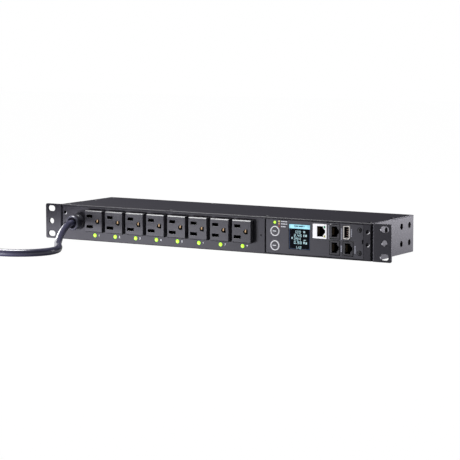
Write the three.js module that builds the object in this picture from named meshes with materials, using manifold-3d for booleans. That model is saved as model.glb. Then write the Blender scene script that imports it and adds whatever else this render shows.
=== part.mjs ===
// A one-unit, 19-inch rack power strip: eight switched outlets in a row, a control module with a
// display and data sockets, and a mains lead wound into a coil.
// Millimetres. X runs along the rack's width, Y from the front panel into the rack, Z up.
// Inside the unit group, y = 0 is the front face of the panel and the ears, and z = 0 the underside.
import * as THREE from "three";
import { mergeVertices } from "three/addons/utils/BufferGeometryUtils.js";
import Module from "manifold-3d";

const wasm = await Module();
wasm.setup();

// ---- Driving dimensions ----
const GAP = 0.3; // clearance kept between pieces that touch
const OVERLAP = 0.1; // how far the solids of one piece run into each other
const THROUGH = 2; // how far a cutting tool runs past the material

const RACK = { width: 482.6, height: 43.6, holeSpan: 465.1, holeRise: 15.875, middle: 21.8 };
const BODY = { width: 433, depth: 110, height: 43.8, sheet: 1.2, lip: 1.8, flange: 12 };
const EAR = { thickness: 2, bend: 2.8, flangeDepth: 44, corner: 2, slotLength: 11, slotWidth: 7.2 };
const EAR_SCREW = { rows: [11.4, 32.5], spareRows: [77.5, 98.6], heights: [12.2, 32.7], holeRadius: 2 };
const SCREW = { headRadius: 3.3, shankRadius: 1.5, headDepth: 1.8, length: 7.5, sink: 0.6 };

const OUTLET = { count: 8, pitch: 30.4, first: -164.4, z: 25, width: 26, height: 27, proud: 6, chamfer: 1.1 };
const OUTLET_BODY = { width: 24, height: 25, back: 22 };
// The chambers behind an outlet's face, where its contacts sit.
const CHAMBER = { front: -1, bladeHalfWidth: 4.9, bladeHalfHeight: 2.4, earthRight: 9.8, earthHalfHeight: 3.6 };
const SLOT = { x: -5.4, rise: 6.4, lineLength: 7.5, neutralLength: 9, width: 2.3 };
const EARTH_HOLE = { left: 3, right: 9, radius: 2.75 };
const LAMP = { x: -1.7, z: 7.3, radius: 1.5, proud: 0.5 };
const LAMP_RAIL = { back: 4, halfHeight: 2, overhang: 5 };
const POST_HOLE = { x: 211.5, heights: [18.9, 33.5], radius: 1.7 };
const RESET_HOLE = { x: 72.2, z: 21.8, radius: 0.8 };

const MODULE = { left: 78.7, right: 205.9, bottom: 1.8, seam: 1.8 };
const MODULE_LEDGES = { left: [68, 82.2], right: [194.9, 214] };
const LATCH_NOTCH = { depth: 1.6, heights: [19.4, 24.2] };
const WINDOW = { left: 109.1, right: 137.1, bottom: 7.8, top: 37.3 };
const STATUS = { x: 90.3, z: 38, radius: 1.5, proud: 0.4, flangeRadius: 2.2, flangeBack: 2.6 };
const BUTTON = { x: 90.8, heights: { upper: 27.8, lower: 10.9 }, radius: 5.9, travel: 0.6, proud: 0.8 };
const JACK = { width: 12.7, height: 16, proud: 0.2, back: 15.2, cavity: 13 };
const JACK_MOUTH = { left: -4, right: 3, halfHeight: 6.1, notchRight: 5.4, notchHalfHeight: 2.25 };
const JACK_PLACES = { upper: [169.5, 31.5], lower_left: [169.5, 12.9], lower_right: [186.7, 12.9] };
const ETHERNET = { left: 140.8, right: 158.6, bottom: 22.4, top: 39.1, proud: 0.3, mouthX: 150.4 };
const ETHERNET_MOUTH = { halfWidth: 4.1, notchRight: 6.8 };
const USB = { x: 184.4, z: 31.3, width: 6.8, height: 14.2, wall: 0.8, flareWidth: 0.9, flareHeight: 0.6 };
const USB_TONGUE = { left: -1.9, right: -0.1, front: 1, halfHeight: 5.5, root: 12 };
const MODULE_SCREWS = { places: [[201.2, 35.2], [201.2, 8.7]], holeRadius: 1.7 };
const BOARD = { thickness: 1.6, front: 15.5 };

const GLAND = { x: -191.3, z: 22.5, radius: 9.8, headRadius: 8.9, flat: 7.9, proud: 11, collar: 3, nut: 4.5 };
const CORD = { radius: 4.4, sides: 10, step: 20 };
const COIL = { x: -302, y: -124.2, mean: 47, columns: 3, layers: 4 };
const TAIL = { radius: 36, start: -Math.PI / 3, sweep: (2 / 3) * Math.PI, straight: 4 };
const PLUG = {
  width: 26,
  thickness: 22,
  length: 36,
  corner: 4,
  relief: 24,
  reliefRadii: [5, 7.9],
  blade: 17,
};
const BLADES = {
  plug_line_blade: { x: -6.35, half: [0.75, 3.2] },
  plug_neutral_blade: { x: 6.35, half: [0.75, 4] },
};
const BLADE_DROP = 3;
const EARTH_PIN = { rise: 7, radius: 2.4, length: 20 };

const FRONT = -OUTLET.proud;
const HALF_WIDTH = BODY.width / 2;
const PANEL_TOP = BODY.height - BODY.lip - GAP; // top edge of the front and rear walls
const FLANGE_TOP = BODY.height - BODY.sheet - GAP;
const COIL_RADII = [-1, 1].map((end) => COIL.mean + end * COIL.columns * CORD.radius);
const COIL_TOP = COIL.layers * 2 * CORD.radius + GAP;
const OUTER_TURN = COIL_RADII[1] - CORD.radius;

// The lead from the gland to the coil: out and down to the floor, then round to the left.
const LEAD_ROUTE = [
  [-191.3, -11.5, 22.5],
  [-191.2, -14, 22.45],
  [-190.3, -20.5, 21.8],
  [-188, -30, 19.8],
  [-184.9, -40, 16.6],
  [-181, -50, 12.9],
  [-176.3, -60, 9.3],
  [-170.5, -70, 6.5],
  [-163.8, -80, 5],
  [-156.3, -90, 4.7],
  [-148.2, -100, 4.7],
  [-140, -111, 4.7],
  [-133.3, -123, 4.7],
  [-130.2, -136, 4.7],
  [-131.8, -149.5, 4.7],
  [-138.5, -162, 4.7],
  [-149, -171.5, 4.7],
  [-162, -177.5, 4.7],
  [-177, -180, 4.7],
  [-195, -180.3, 4.7],
  [-217, -180.2, 4.7],
  [-240, -180.1, 4.7],
  [-269, -180, 4.7],
];
// The lead's tail leaves the coil's outer turn and rises over the inner ones to the plug.
const TAIL_CENTRE = [
  COIL.x + (OUTER_TURN - TAIL.radius) * Math.cos(TAIL.start),
  COIL.y + (OUTER_TURN - TAIL.radius) * Math.sin(TAIL.start),
];
const PLUG_AXIS = {
  x: TAIL_CENTRE[0] - TAIL.radius,
  y: TAIL_CENTRE[1] + TAIL.straight,
  z: COIL_TOP + PLUG.thickness / 2,
};
const TAIL_HEIGHTS = [32, 36.2, 40.5, 44, PLUG_AXIS.z];
const RELIEF_START = PLUG_AXIS.y + GAP;
const PLUG_FACE = RELIEF_START + PLUG.relief + PLUG.length;

// ---- Materials ----
const finish = (color, roughness, metalness) =>
  new THREE.MeshStandardMaterial({ color, roughness, metalness });
const PAINT = finish(0x4a494e, 0.55, 0.3);
const MODULE_PAINT = finish(0x55545a, 0.5, 0.2);
const OUTLET_PLASTIC = finish(0x4c4b50, 0.45, 0);
const SCREW_STEEL = finish(0x2c2c30, 0.4, 0.8);
const BRASS = finish(0xc9a45a, 0.3, 1);
const LAMP_PLASTIC = finish(0x9be02c, 0.2, 0);
const RELAY_PLASTIC = finish(0x23303c, 0.4, 0);
const BOARD_LAMINATE = finish(0x1f5a35, 0.45, 0);
const SUPPLY_PLASTIC = finish(0x8d8440, 0.5, 0);
const TERMINAL_PLASTIC = finish(0x3f7f4a, 0.4, 0);
const DISPLAY_GLASS = finish(0x10161c, 0.08, 0);
const BUTTON_PLASTIC = finish(0x5b5a60, 0.45, 0);
const JACK_PLASTIC = finish(0x26262a, 0.4, 0);
const SHIELD_STEEL = finish(0xcfd0d4, 0.22, 1);
const JACKET = finish(0x1c1c24, 0.25, 0);
const GLAND_PLASTIC = finish(0x1d1d22, 0.3, 0);
const BLADE_METAL = finish(0xd8d2c0, 0.25, 1);

// ---- Solids ----
function solid(geometry) {
  const source = geometry.clone();
  source.deleteAttribute("normal");
  source.deleteAttribute("uv");
  const merged = mergeVertices(source, 1e-4);
  return new wasm.Manifold(
    new wasm.Mesh({
      numProp: 3,
      vertProperties: new Float32Array(merged.attributes.position.array),
      triVerts: new Uint32Array(merged.index.array),
    }),
  );
}

function geometryOf(shape) {
  const mesh = shape.getMesh();
  const geometry = new THREE.BufferGeometry();
  geometry.setAttribute("position", new THREE.BufferAttribute(new Float32Array(mesh.vertProperties), 3));
  geometry.setIndex(new THREE.BufferAttribute(new Uint32Array(mesh.triVerts), 1));
  geometry.computeVertexNormals();
  return geometry;
}

const joined = (...shapes) => shapes.reduce((whole, shape) => whole.add(shape));
const cut = (shape, ...tools) => tools.reduce((rest, tool) => rest.subtract(tool), shape);

// A block between two limits on each axis.
function block([x0, x1], [y0, y1], [z0, z1]) {
  const geometry = new THREE.BoxGeometry(x1 - x0, y1 - y0, z1 - z0);
  geometry.translate((x0 + x1) / 2, (y0 + y1) / 2, (z0 + z1) / 2);
  return solid(geometry);
}

const about = (middle, half) => [middle - half, middle + half];

// A round bar or cone along one axis; the two radii are at its two limits.
function bar(axis, [a, b], [from, to], radius, endRadius = radius, sides = 20) {
  const geometry = new THREE.CylinderGeometry(endRadius, radius, to - from, sides);
  geometry.translate(0, (from + to) / 2, 0);
  if (axis === "x") {
    geometry.rotateZ(-Math.PI / 2);
    geometry.translate(0, a, b);
  } else if (axis === "y") {
    geometry.translate(a, 0, b);
  } else {
    geometry.rotateX(Math.PI / 2);
    geometry.translate(a, b, 0);
  }
  return solid(geometry);
}

// An outline drawn in the X-Z plane, pushed along Y.
function alongY(outline, [y0, y1]) {
  const geometry = new THREE.ExtrudeGeometry(outline, { depth: y1 - y0, bevelEnabled: false });
  geometry.rotateX(Math.PI / 2);
  geometry.translate(0, y1, 0);
  return solid(geometry);
}

// A slot with round ends, long along X, cut along Y.
function slotAlongY([x, z], length, width, [y0, y1]) {
  const half = (length - width) / 2;
  return joined(
    block(about(x, half), [y0, y1], about(z, width / 2)),
    bar("y", [x - half, z], [y0, y1], width / 2),
    bar("y", [x + half, z], [y0, y1], width / 2),
  );
}

const unit = new THREE.Group();
unit.position.y = -(FRONT + BODY.depth) / 2;

function piece(name, shape, material) {
  const mesh = new THREE.Mesh(geometryOf(shape), material);
  mesh.name = name;
  unit.add(mesh);
  return mesh;
}

// The same piece on the unit's left side.
function mirroredPiece(name, shape, material) {
  piece(name, shape, material).scale.x = -1;
}

// ---- Chassis ----
const outletX = (index) => OUTLET.first + index * OUTLET.pitch;
const outlets = Array.from({ length: OUTLET.count }, (_, index) => index);

function frontOpenings() {
  const wall = [-THROUGH, BODY.sheet + THROUGH];
  const openings = outlets.flatMap((index) => [
    block(about(outletX(index), OUTLET_BODY.width / 2 + GAP), wall,
      about(OUTLET.z, OUTLET_BODY.height / 2 + GAP)),
    bar("y", [outletX(index) + LAMP.x, LAMP.z], wall, LAMP.radius + GAP, LAMP.radius + GAP, 10),
  ]);
  for (const side of [-1, 1]) {
    for (const z of POST_HOLE.heights) {
      openings.push(bar("y", [side * POST_HOLE.x, z], wall, POST_HOLE.radius, POST_HOLE.radius, 12));
    }
  }
  openings.push(bar("y", [GLAND.x, GLAND.z], wall, GLAND.headRadius - GAP, GLAND.headRadius - GAP));
  openings.push(bar("y", [RESET_HOLE.x, RESET_HOLE.z], wall, RESET_HOLE.radius, RESET_HOLE.radius, 10));
  openings.push(
    block([MODULE.left - MODULE.seam, MODULE.right + GAP], [-THROUGH, BODY.sheet + OVERLAP],
      [BODY.sheet + OVERLAP, PANEL_TOP + THROUGH]),
  );
  return openings;
}

function sideHoles(side) {
  const wall = about(side * (HALF_WIDTH - BODY.sheet / 2), THROUGH);
  const radius = EAR_SCREW.holeRadius;
  return [...EAR_SCREW.rows, ...EAR_SCREW.spareRows].flatMap((y) =>
    EAR_SCREW.heights.map((z) => bar("x", [y, z], wall, radius, radius, 10)),
  );
}

// A ledge behind one end of the control module, which its screws or tongue bear on.
function moduleLedge([x0, x1], [root0, root1]) {
  const heights = [BODY.sheet, PANEL_TOP - BODY.sheet];
  const back = BODY.sheet + GAP + BODY.sheet;
  return joined(
    block([x0, x1], [BODY.sheet + GAP, back], heights),
    block([root0, root1], [BODY.sheet - OVERLAP, back], heights),
  );
}

function chassisTray() {
  const inside = BODY.sheet;
  const shell = cut(
    block(about(0, HALF_WIDTH), [0, BODY.depth], [0, FLANGE_TOP]),
    block(about(0, HALF_WIDTH - inside), [inside, BODY.depth - inside], [inside, FLANGE_TOP - inside]),
    block(about(0, HALF_WIDTH - BODY.flange), [BODY.flange, BODY.depth - BODY.flange], [inside, BODY.height]),
    block(about(0, BODY.width), [-THROUGH, BODY.sheet + GAP], [PANEL_TOP, BODY.height]),
    block(about(0, BODY.width), [BODY.depth - BODY.sheet - GAP, BODY.depth + THROUGH], [PANEL_TOP, BODY.height]),
  );
  const { left, right } = MODULE_LEDGES;
  return joined(
    cut(shell, ...frontOpenings(), ...sideHoles(-1), ...sideHoles(1)),
    moduleLedge(left, [left[0], MODULE.left - MODULE.seam - GAP]),
    moduleLedge(right, [MODULE.right + GAP, right[1]]),
  );
}

function topCover() {
  const plate = block(about(0, HALF_WIDTH), [0, BODY.depth], [BODY.height - BODY.sheet, BODY.height]);
  const lipHeights = [BODY.height - BODY.lip, BODY.height];
  return joined(
    plate,
    block(about(0, HALF_WIDTH), [0, BODY.sheet], lipHeights),
    block(about(0, HALF_WIDTH), [BODY.depth - BODY.sheet, BODY.depth], lipHeights),
  );
}

// ---- Rack ears: angle brackets screwed to the side walls ----
function earProfile() {
  const inner = HALF_WIDTH + GAP;
  const flatStart = inner + EAR.bend;
  const profile = new THREE.Shape();
  profile.moveTo(RACK.width / 2, 0);
  profile.lineTo(RACK.width / 2, EAR.thickness);
  profile.lineTo(flatStart, EAR.thickness);
  profile.absarc(flatStart, EAR.bend, EAR.bend - EAR.thickness, 1.5 * Math.PI, Math.PI, true);
  profile.lineTo(inner + EAR.thickness, EAR.flangeDepth);
  profile.lineTo(inner, EAR.flangeDepth);
  profile.lineTo(inner, EAR.bend);
  profile.absarc(flatStart, EAR.bend, EAR.bend, Math.PI, 1.5 * Math.PI, false);
  return profile;
}

// The upright outline of an ear, with its two outer corners rounded.
function earOutline() {
  const outer = RACK.width / 2;
  const low = RACK.middle - RACK.height / 2;
  const high = RACK.middle + RACK.height / 2;
  const outline = new THREE.Shape();
  outline.moveTo(HALF_WIDTH - THROUGH, low);
  outline.lineTo(outer - EAR.corner, low);
  outline.absarc(outer - EAR.corner, low + EAR.corner, EAR.corner, -Math.PI / 2, 0, false);
  outline.lineTo(outer, high - EAR.corner);
  outline.absarc(outer - EAR.corner, high - EAR.corner, EAR.corner, 0, Math.PI / 2, false);
  outline.lineTo(HALF_WIDTH - THROUGH, high);
  return outline;
}

function rightEar() {
  const angle = new THREE.ExtrudeGeometry(earProfile(), {
    depth: BODY.height,
    bevelEnabled: false,
    curveSegments: 6,
  });
  const holeX = RACK.holeSpan / 2;
  const front = [-THROUGH, EAR.thickness + THROUGH];
  const flangeFace = HALF_WIDTH + GAP + EAR.thickness;
  const slots = [-1, 1].map((end) =>
    slotAlongY([holeX, RACK.middle + end * RACK.holeRise], EAR.slotLength, EAR.slotWidth, front),
  );
  const sinks = EAR_SCREW.rows.flatMap((y) =>
    EAR_SCREW.heights.map((z) =>
      bar("x", [y, z], [flangeFace - EAR.thickness - OVERLAP, flangeFace + OVERLAP],
        SCREW.shankRadius + GAP, SCREW.headRadius + SCREW.sink, 12),
    ),
  );
  return cut(
    solid(angle).intersect(alongY(earOutline(), [-THROUGH, EAR.flangeDepth + THROUGH])),
    ...slots,
    bar("y", [holeX, RACK.middle], front, EAR.slotWidth / 2),
    ...sinks,
  );
}

// A countersunk screw through an ear's flange and the side wall, pointing inwards along X.
function earScrew(y, z) {
  const face = HALF_WIDTH + GAP + EAR.thickness;
  return joined(
    bar("x", [y, z], [face - SCREW.headDepth, face], SCREW.shankRadius, SCREW.headRadius, 12),
    bar("x", [y, z], [face - SCREW.length, face - SCREW.headDepth + OVERLAP], SCREW.shankRadius,
      SCREW.shankRadius, 8),
  );
}

// ---- Outlets ----
// The raised face, with its front edges chamfered.
function outletFace(x) {
  const halfWidth = OUTLET.width / 2 - OUTLET.chamfer;
  const halfHeight = OUTLET.height / 2 - OUTLET.chamfer;
  const outline = new THREE.Shape();
  outline.moveTo(-halfWidth, -halfHeight);
  outline.lineTo(halfWidth, -halfHeight);
  outline.lineTo(halfWidth, halfHeight);
  outline.lineTo(-halfWidth, halfHeight);
  const geometry = new THREE.ExtrudeGeometry(outline, {
    depth: OUTLET.proud,
    bevelThickness: OUTLET.chamfer,
    bevelSize: OUTLET.chamfer,
    bevelSegments: 1,
  });
  geometry.rotateX(Math.PI / 2);
  geometry.translate(x, FRONT + OUTLET.proud + OUTLET.chamfer, OUTLET.z);
  const front = block(about(x, OUTLET.width), [FRONT - THROUGH, -GAP], about(OUTLET.z, OUTLET.height));
  return solid(geometry).intersect(front);
}

function outlet(x) {
  const depth = [FRONT - THROUGH, OUTLET_BODY.back + THROUGH];
  const chamber = [CHAMBER.front, OUTLET_BODY.back + THROUGH];
  const slotX = x + SLOT.x;
  const lineZ = OUTLET.z + SLOT.rise;
  const neutralZ = OUTLET.z - SLOT.rise;
  const archX = x + EARTH_HOLE.left + EARTH_HOLE.radius;
  const back = block(
    about(x, OUTLET_BODY.width / 2),
    [-GAP - OVERLAP, OUTLET_BODY.back],
    about(OUTLET.z, OUTLET_BODY.height / 2),
  );
  return cut(
    joined(outletFace(x), back),
    block(about(slotX, SLOT.lineLength / 2), depth, about(lineZ, SLOT.width / 2)),
    block(about(slotX, SLOT.neutralLength / 2), depth, about(neutralZ, SLOT.width / 2)),
    block(about(slotX, CHAMBER.bladeHalfWidth), chamber, about(lineZ, CHAMBER.bladeHalfHeight)),
    block(about(slotX, CHAMBER.bladeHalfWidth), chamber, about(neutralZ, CHAMBER.bladeHalfHeight)),
    bar("y", [archX, OUTLET.z], depth, EARTH_HOLE.radius, EARTH_HOLE.radius, 24),
    block([archX, x + EARTH_HOLE.right], depth, about(OUTLET.z, EARTH_HOLE.radius)),
    block([x + EARTH_HOLE.left, x + CHAMBER.earthRight], chamber, about(OUTLET.z, CHAMBER.earthHalfHeight)),
  );
}

// ---- Contacts: sprung brass clips that grip a plug's blades ----
const CLIP = { leaf: 0.8, front: 0.5, web: 19, tail: 27, halfWidth: 4.2, opening: 0.9, earthOpening: 2.45 };
const CLIP_TAIL = { halfWidth: 1.6, halfHeight: 0.5 };
const BUS = { thickness: 1, halfHeight: 2, overhang: 11 };

function clip([x0, x1], z, halfOpening, back) {
  const outer = halfOpening + CLIP.leaf;
  return joined(
    block([x0, x1], [CLIP.front, CLIP.web + OVERLAP], [z + halfOpening, z + outer]),
    block([x0, x1], [CLIP.front, CLIP.web + OVERLAP], [z - outer, z - halfOpening]),
    block([x0, x1], [CLIP.web, CLIP.web + CLIP.leaf], [z - outer, z + outer]),
    block(about((x0 + x1) / 2, CLIP_TAIL.halfWidth), [CLIP.web, back], about(z, CLIP_TAIL.halfHeight)),
  );
}

const lineContact = (x) =>
  clip(about(x + SLOT.x, CLIP.halfWidth), OUTLET.z + SLOT.rise, CLIP.opening, CLIP.tail);

// A strip along the backs of the outlets, with one clip in each.
function busStrip(z, clipLimits, halfOpening) {
  const front = OUTLET_BODY.back + 1;
  const limits = [outletX(0) - BUS.overhang, outletX(OUTLET.count - 1) + BUS.overhang];
  const strip = block(limits, [front, front + BUS.thickness], about(z, BUS.halfHeight));
  const clips = outlets.map((index) =>
    clip(clipLimits.map((limit) => outletX(index) + limit), z, halfOpening, front + OVERLAP),
  );
  return joined(strip, ...clips);
}

const neutralBus = () => busStrip(OUTLET.z - SLOT.rise, about(SLOT.x, CLIP.halfWidth), CLIP.opening);
const earthBus = () =>
  busStrip(OUTLET.z, [EARTH_HOLE.left + GAP, EARTH_HOLE.right + GAP], CLIP.earthOpening);

// One moulding that carries light from the board to the eight lamp holes.
function lampPipe() {
  const tips = outlets.map((index) =>
    bar("y", [outletX(index) + LAMP.x, LAMP.z], [-LAMP.proud, LAMP_RAIL.back], LAMP.radius, LAMP.radius, 10),
  );
  const limits = [outletX(0) - LAMP_RAIL.overhang, outletX(OUTLET.count - 1) + LAMP_RAIL.overhang];
  const rail = block(limits, [BODY.sheet + GAP, LAMP_RAIL.back], about(LAMP.z, LAMP_RAIL.halfHeight));
  return joined(rail, ...tips);
}

// ---- Power electronics on the floor of the tray ----
const POWER_BOARD = { left: -178, right: 64, front: 30, back: 104, underside: 6 };
const BOARD_POST = { columns: [-168, -57, 54], rows: [34, 100], radius: 2.5 };
const RELAY = { halfWidth: 7.9, rows: [37, 56], height: 15.3 };
const SUPPLY = { columns: [-92, -52], rows: [64, 96], height: 24 };
const TERMINALS = { columns: [-168, -144], rows: [66, 80], height: 12 };
const BOARD_TOP = POWER_BOARD.underside + BOARD.thickness;

function powerBoard() {
  const plate = block(
    [POWER_BOARD.left, POWER_BOARD.right],
    [POWER_BOARD.front, POWER_BOARD.back],
    [POWER_BOARD.underside, BOARD_TOP],
  );
  const heights = [BODY.sheet + GAP, POWER_BOARD.underside + OVERLAP];
  const posts = BOARD_POST.columns.flatMap((x) =>
    BOARD_POST.rows.map((y) => bar("z", [x, y], heights, BOARD_POST.radius, BOARD_POST.radius, 10)),
  );
  return joined(plate, ...posts);
}

const onBoard = (height) => [BOARD_TOP + GAP, BOARD_TOP + GAP + height];
const relay = (x) => block(about(x, RELAY.halfWidth), RELAY.rows, onBoard(RELAY.height));
const powerSupply = () => block(SUPPLY.columns, SUPPLY.rows, onBoard(SUPPLY.height));
const terminalBlock = () => block(TERMINALS.columns, TERMINALS.rows, onBoard(TERMINALS.height));

// ---- Control module ----
function modulePlate() {
  const through = [-THROUGH, BODY.sheet + THROUGH];
  const plate = block([MODULE.left, MODULE.right], [0, BODY.sheet], [MODULE.bottom, PANEL_TOP - GAP]);
  const jacks = Object.values(JACK_PLACES).map(([x, z]) =>
    block(about(x, JACK.width / 2 + GAP), through, about(z, JACK.height / 2 + GAP)),
  );
  const buttons = Object.values(BUTTON.heights).map((z) =>
    bar("y", [BUTTON.x, z], through, BUTTON.radius + GAP, BUTTON.radius + GAP, 24),
  );
  const usbHalfWidth = USB.width / 2 + USB.flareWidth + GAP;
  const usbHalfHeight = USB.height / 2 + USB.flareHeight + GAP;
  const { places, holeRadius } = MODULE_SCREWS;
  const screws = places.map((at) => bar("y", at, through, holeRadius, holeRadius, 14));
  return cut(
    plate,
    block([WINDOW.left, WINDOW.right], through, [WINDOW.bottom, WINDOW.top]),
    block([ETHERNET.left - GAP, ETHERNET.right + GAP], through, [ETHERNET.bottom - GAP, ETHERNET.top + GAP]),
    block(about(USB.x, usbHalfWidth), through, about(USB.z, usbHalfHeight)),
    block([MODULE.right - LATCH_NOTCH.depth, MODULE.right + THROUGH], through, LATCH_NOTCH.heights),
    bar("y", [STATUS.x, STATUS.z], through, STATUS.radius + GAP, STATUS.radius + GAP, 14),
    ...jacks,
    ...buttons,
    ...screws,
  );
}

const SWITCH = { half: 3, front: BOARD.front - 4.7, boreRadius: 1.8, boreDepth: 2.4 };
const CONTROL_BOARD = { columns: [84, 198], heights: [4, 39.5] };
const SPACER = { columns: [108.5, 137.5], heights: [7, 38], front: 5.3, radius: 1.4 };
const BUTTON_STEM = { radius: 2.4, plungerRadius: 1.3, plungerReach: 0.9, rimRadius: 6.9, rimBack: 2.6 };
const DISPLAY = { glassFront: 0.5, back: 5, side: 2.4 };

// The upright board behind the plate, with spacers for the display and the two switch housings.
function controlBoard() {
  const boardBack = BOARD.front + OVERLAP;
  const plate = block(CONTROL_BOARD.columns, [BOARD.front, BOARD.front + BOARD.thickness], CONTROL_BOARD.heights);
  const spacers = SPACER.columns.flatMap((x) =>
    SPACER.heights.map((z) => bar("y", [x, z], [SPACER.front, boardBack], SPACER.radius, SPACER.radius, 10)),
  );
  const housings = Object.values(BUTTON.heights).map((z) =>
    cut(
      block(about(BUTTON.x, SWITCH.half), [SWITCH.front, boardBack], about(z, SWITCH.half)),
      bar("y", [BUTTON.x, z], [SWITCH.front - THROUGH, SWITCH.front + SWITCH.boreDepth], SWITCH.boreRadius,
        SWITCH.boreRadius, 14),
    ),
  );
  return joined(plate, ...spacers, ...housings);
}

function displayModule() {
  return joined(
    block([WINDOW.left + GAP, WINDOW.right - GAP], [DISPLAY.glassFront, DISPLAY.back],
      [WINDOW.bottom + GAP, WINDOW.top - GAP]),
    block([WINDOW.left - DISPLAY.side, WINDOW.right + DISPLAY.side], [BODY.sheet + GAP, DISPLAY.back],
      [WINDOW.bottom - DISPLAY.side, WINDOW.top + DISPLAY.side]),
  );
}

// A push button: cap, keeper rim behind the plate, stem, and the plunger in its switch's bore.
function button(z) {
  const { radius, plungerRadius, plungerReach, rimRadius, rimBack } = BUTTON_STEM;
  const at = [BUTTON.x, z];
  const stemEnd = SWITCH.front - BUTTON.travel - GAP;
  return joined(
    bar("y", at, [-BUTTON.proud, rimBack], BUTTON.radius, BUTTON.radius, 24),
    bar("y", at, [BODY.sheet + GAP, rimBack], rimRadius, rimRadius, 24),
    bar("y", at, [rimBack - OVERLAP, stemEnd], radius, radius, 14),
    bar("y", at, [stemEnd - OVERLAP, SWITCH.front + plungerReach], plungerRadius, plungerRadius, 14),
  );
}

// A modular socket on its side, with its latch notch to the right.
function modularJack([x, z]) {
  const mouth = [-THROUGH, JACK.cavity];
  return cut(
    block(about(x, JACK.width / 2), [-JACK.proud, JACK.back], about(z, JACK.height / 2)),
    block([x + JACK_MOUTH.left, x + JACK_MOUTH.right], mouth, about(z, JACK_MOUTH.halfHeight)),
    block([x, x + JACK_MOUTH.notchRight], mouth, about(z, JACK_MOUTH.notchHalfHeight)),
  );
}

function ethernetJack() {
  const middle = (ETHERNET.bottom + ETHERNET.top) / 2;
  const mouth = [-THROUGH, JACK.cavity];
  const { halfWidth, notchRight } = ETHERNET_MOUTH;
  return cut(
    block([ETHERNET.left, ETHERNET.right], [-ETHERNET.proud, JACK.back], [ETHERNET.bottom, ETHERNET.top]),
    block(about(ETHERNET.mouthX, halfWidth), mouth, about(middle, JACK_MOUTH.halfHeight)),
    block([ETHERNET.mouthX, ETHERNET.mouthX + notchRight], mouth, about(middle, JACK_MOUTH.notchHalfHeight)),
  );
}

// An upright USB socket: a steel shell with a flared mouth round a tongue.
function usbPort() {
  const { left, right, front, root } = USB_TONGUE;
  const halfWidth = USB.width / 2;
  const halfHeight = USB.height / 2;
  const flare = block(
    about(USB.x, halfWidth + USB.flareWidth),
    [-USB.flareHeight, JACK.proud],
    about(USB.z, halfHeight + USB.flareHeight),
  );
  const shell = cut(
    joined(block(about(USB.x, halfWidth), [-JACK.proud, JACK.back], about(USB.z, halfHeight)), flare),
    block(about(USB.x, halfWidth - USB.wall), [-THROUGH, root], about(USB.z, halfHeight - USB.wall)),
  );
  const tongue = block([USB.x + left, USB.x + right], [front, root + OVERLAP], about(USB.z, USB_TONGUE.halfHeight));
  return joined(shell, tongue);
}

function statusLight() {
  const { radius, proud, flangeRadius, flangeBack } = STATUS;
  return joined(
    bar("y", [STATUS.x, STATUS.z], [-proud, BOARD.front - GAP], radius, radius, 14),
    bar("y", [STATUS.x, STATUS.z], [BODY.sheet + GAP, flangeBack], flangeRadius, flangeRadius, 14),
  );
}

// ---- Mains lead ----
// The strain relief: a collar on the panel, a round head with two flats, and the part behind the panel.
function cordGland() {
  const at = [GLAND.x, GLAND.z];
  const head = bar("y", at, [-GLAND.proud, OVERLAP - GLAND.collar], GLAND.headRadius, GLAND.headRadius, 28);
  const flats = block(about(GLAND.x, GLAND.flat), [-2 * GLAND.proud, 0], about(GLAND.z, 2 * GLAND.radius));
  const shankRadius = GLAND.headRadius - 2 * GAP;
  return joined(
    head.intersect(flats),
    bar("y", at, [-GLAND.collar, -GAP], GLAND.radius, GLAND.radius, 28),
    bar("y", at, [-GAP - OVERLAP, GLAND.nut + OVERLAP], shankRadius, shankRadius, 24),
    bar("y", at, [BODY.sheet + GAP, GLAND.nut], GLAND.radius, GLAND.radius, 24),
  );
}

// A round cord along a smooth curve through the points.
function cordAlong(points) {
  const curve = new THREE.CatmullRomCurve3(points.map((point) => new THREE.Vector3(...point)));
  const section = new THREE.Shape();
  section.absarc(0, 0, CORD.radius, 0, 2 * Math.PI, false);
  const geometry = new THREE.ExtrudeGeometry(section, {
    steps: Math.round(curve.getLength() / CORD.step),
    curveSegments: CORD.sides / 2,
    extrudePath: curve,
  });
  return solid(geometry);
}

// The lead's tail in an arc over the coil, rising from the top layer to the plug.
function tailRoute() {
  const arc = TAIL_HEIGHTS.map((z, index) => {
    const angle = TAIL.start - (TAIL.sweep * index) / (TAIL_HEIGHTS.length - 1);
    return [
      TAIL_CENTRE[0] + TAIL.radius * Math.cos(angle),
      TAIL_CENTRE[1] + TAIL.radius * Math.sin(angle),
      z,
    ];
  });
  return [...arc, [PLUG_AXIS.x, PLUG_AXIS.y - 1, PLUG_AXIS.z], [PLUG_AXIS.x, PLUG_AXIS.y, PLUG_AXIS.z]];
}

// The outer shape of the coiled turns, with the tail that leaves it.
function cordCoil() {
  const [inner, outer] = COIL_RADII;
  const edge = CORD.radius * 0.6;
  const profile = [
    [inner, GAP + edge],
    [inner + edge, GAP],
    [outer - edge, GAP],
    [outer, GAP + edge],
    [outer, COIL_TOP - edge],
    [outer - edge, COIL_TOP],
    [inner + edge, COIL_TOP],
    [inner, COIL_TOP - edge],
    [inner, GAP + edge],
  ].map(([radius, height]) => new THREE.Vector2(radius, height));
  const ring = new THREE.LatheGeometry(profile, 32);
  ring.rotateX(Math.PI / 2);
  ring.translate(COIL.x, COIL.y, 0);
  return joined(solid(ring), cordAlong(tailRoute()));
}

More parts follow.
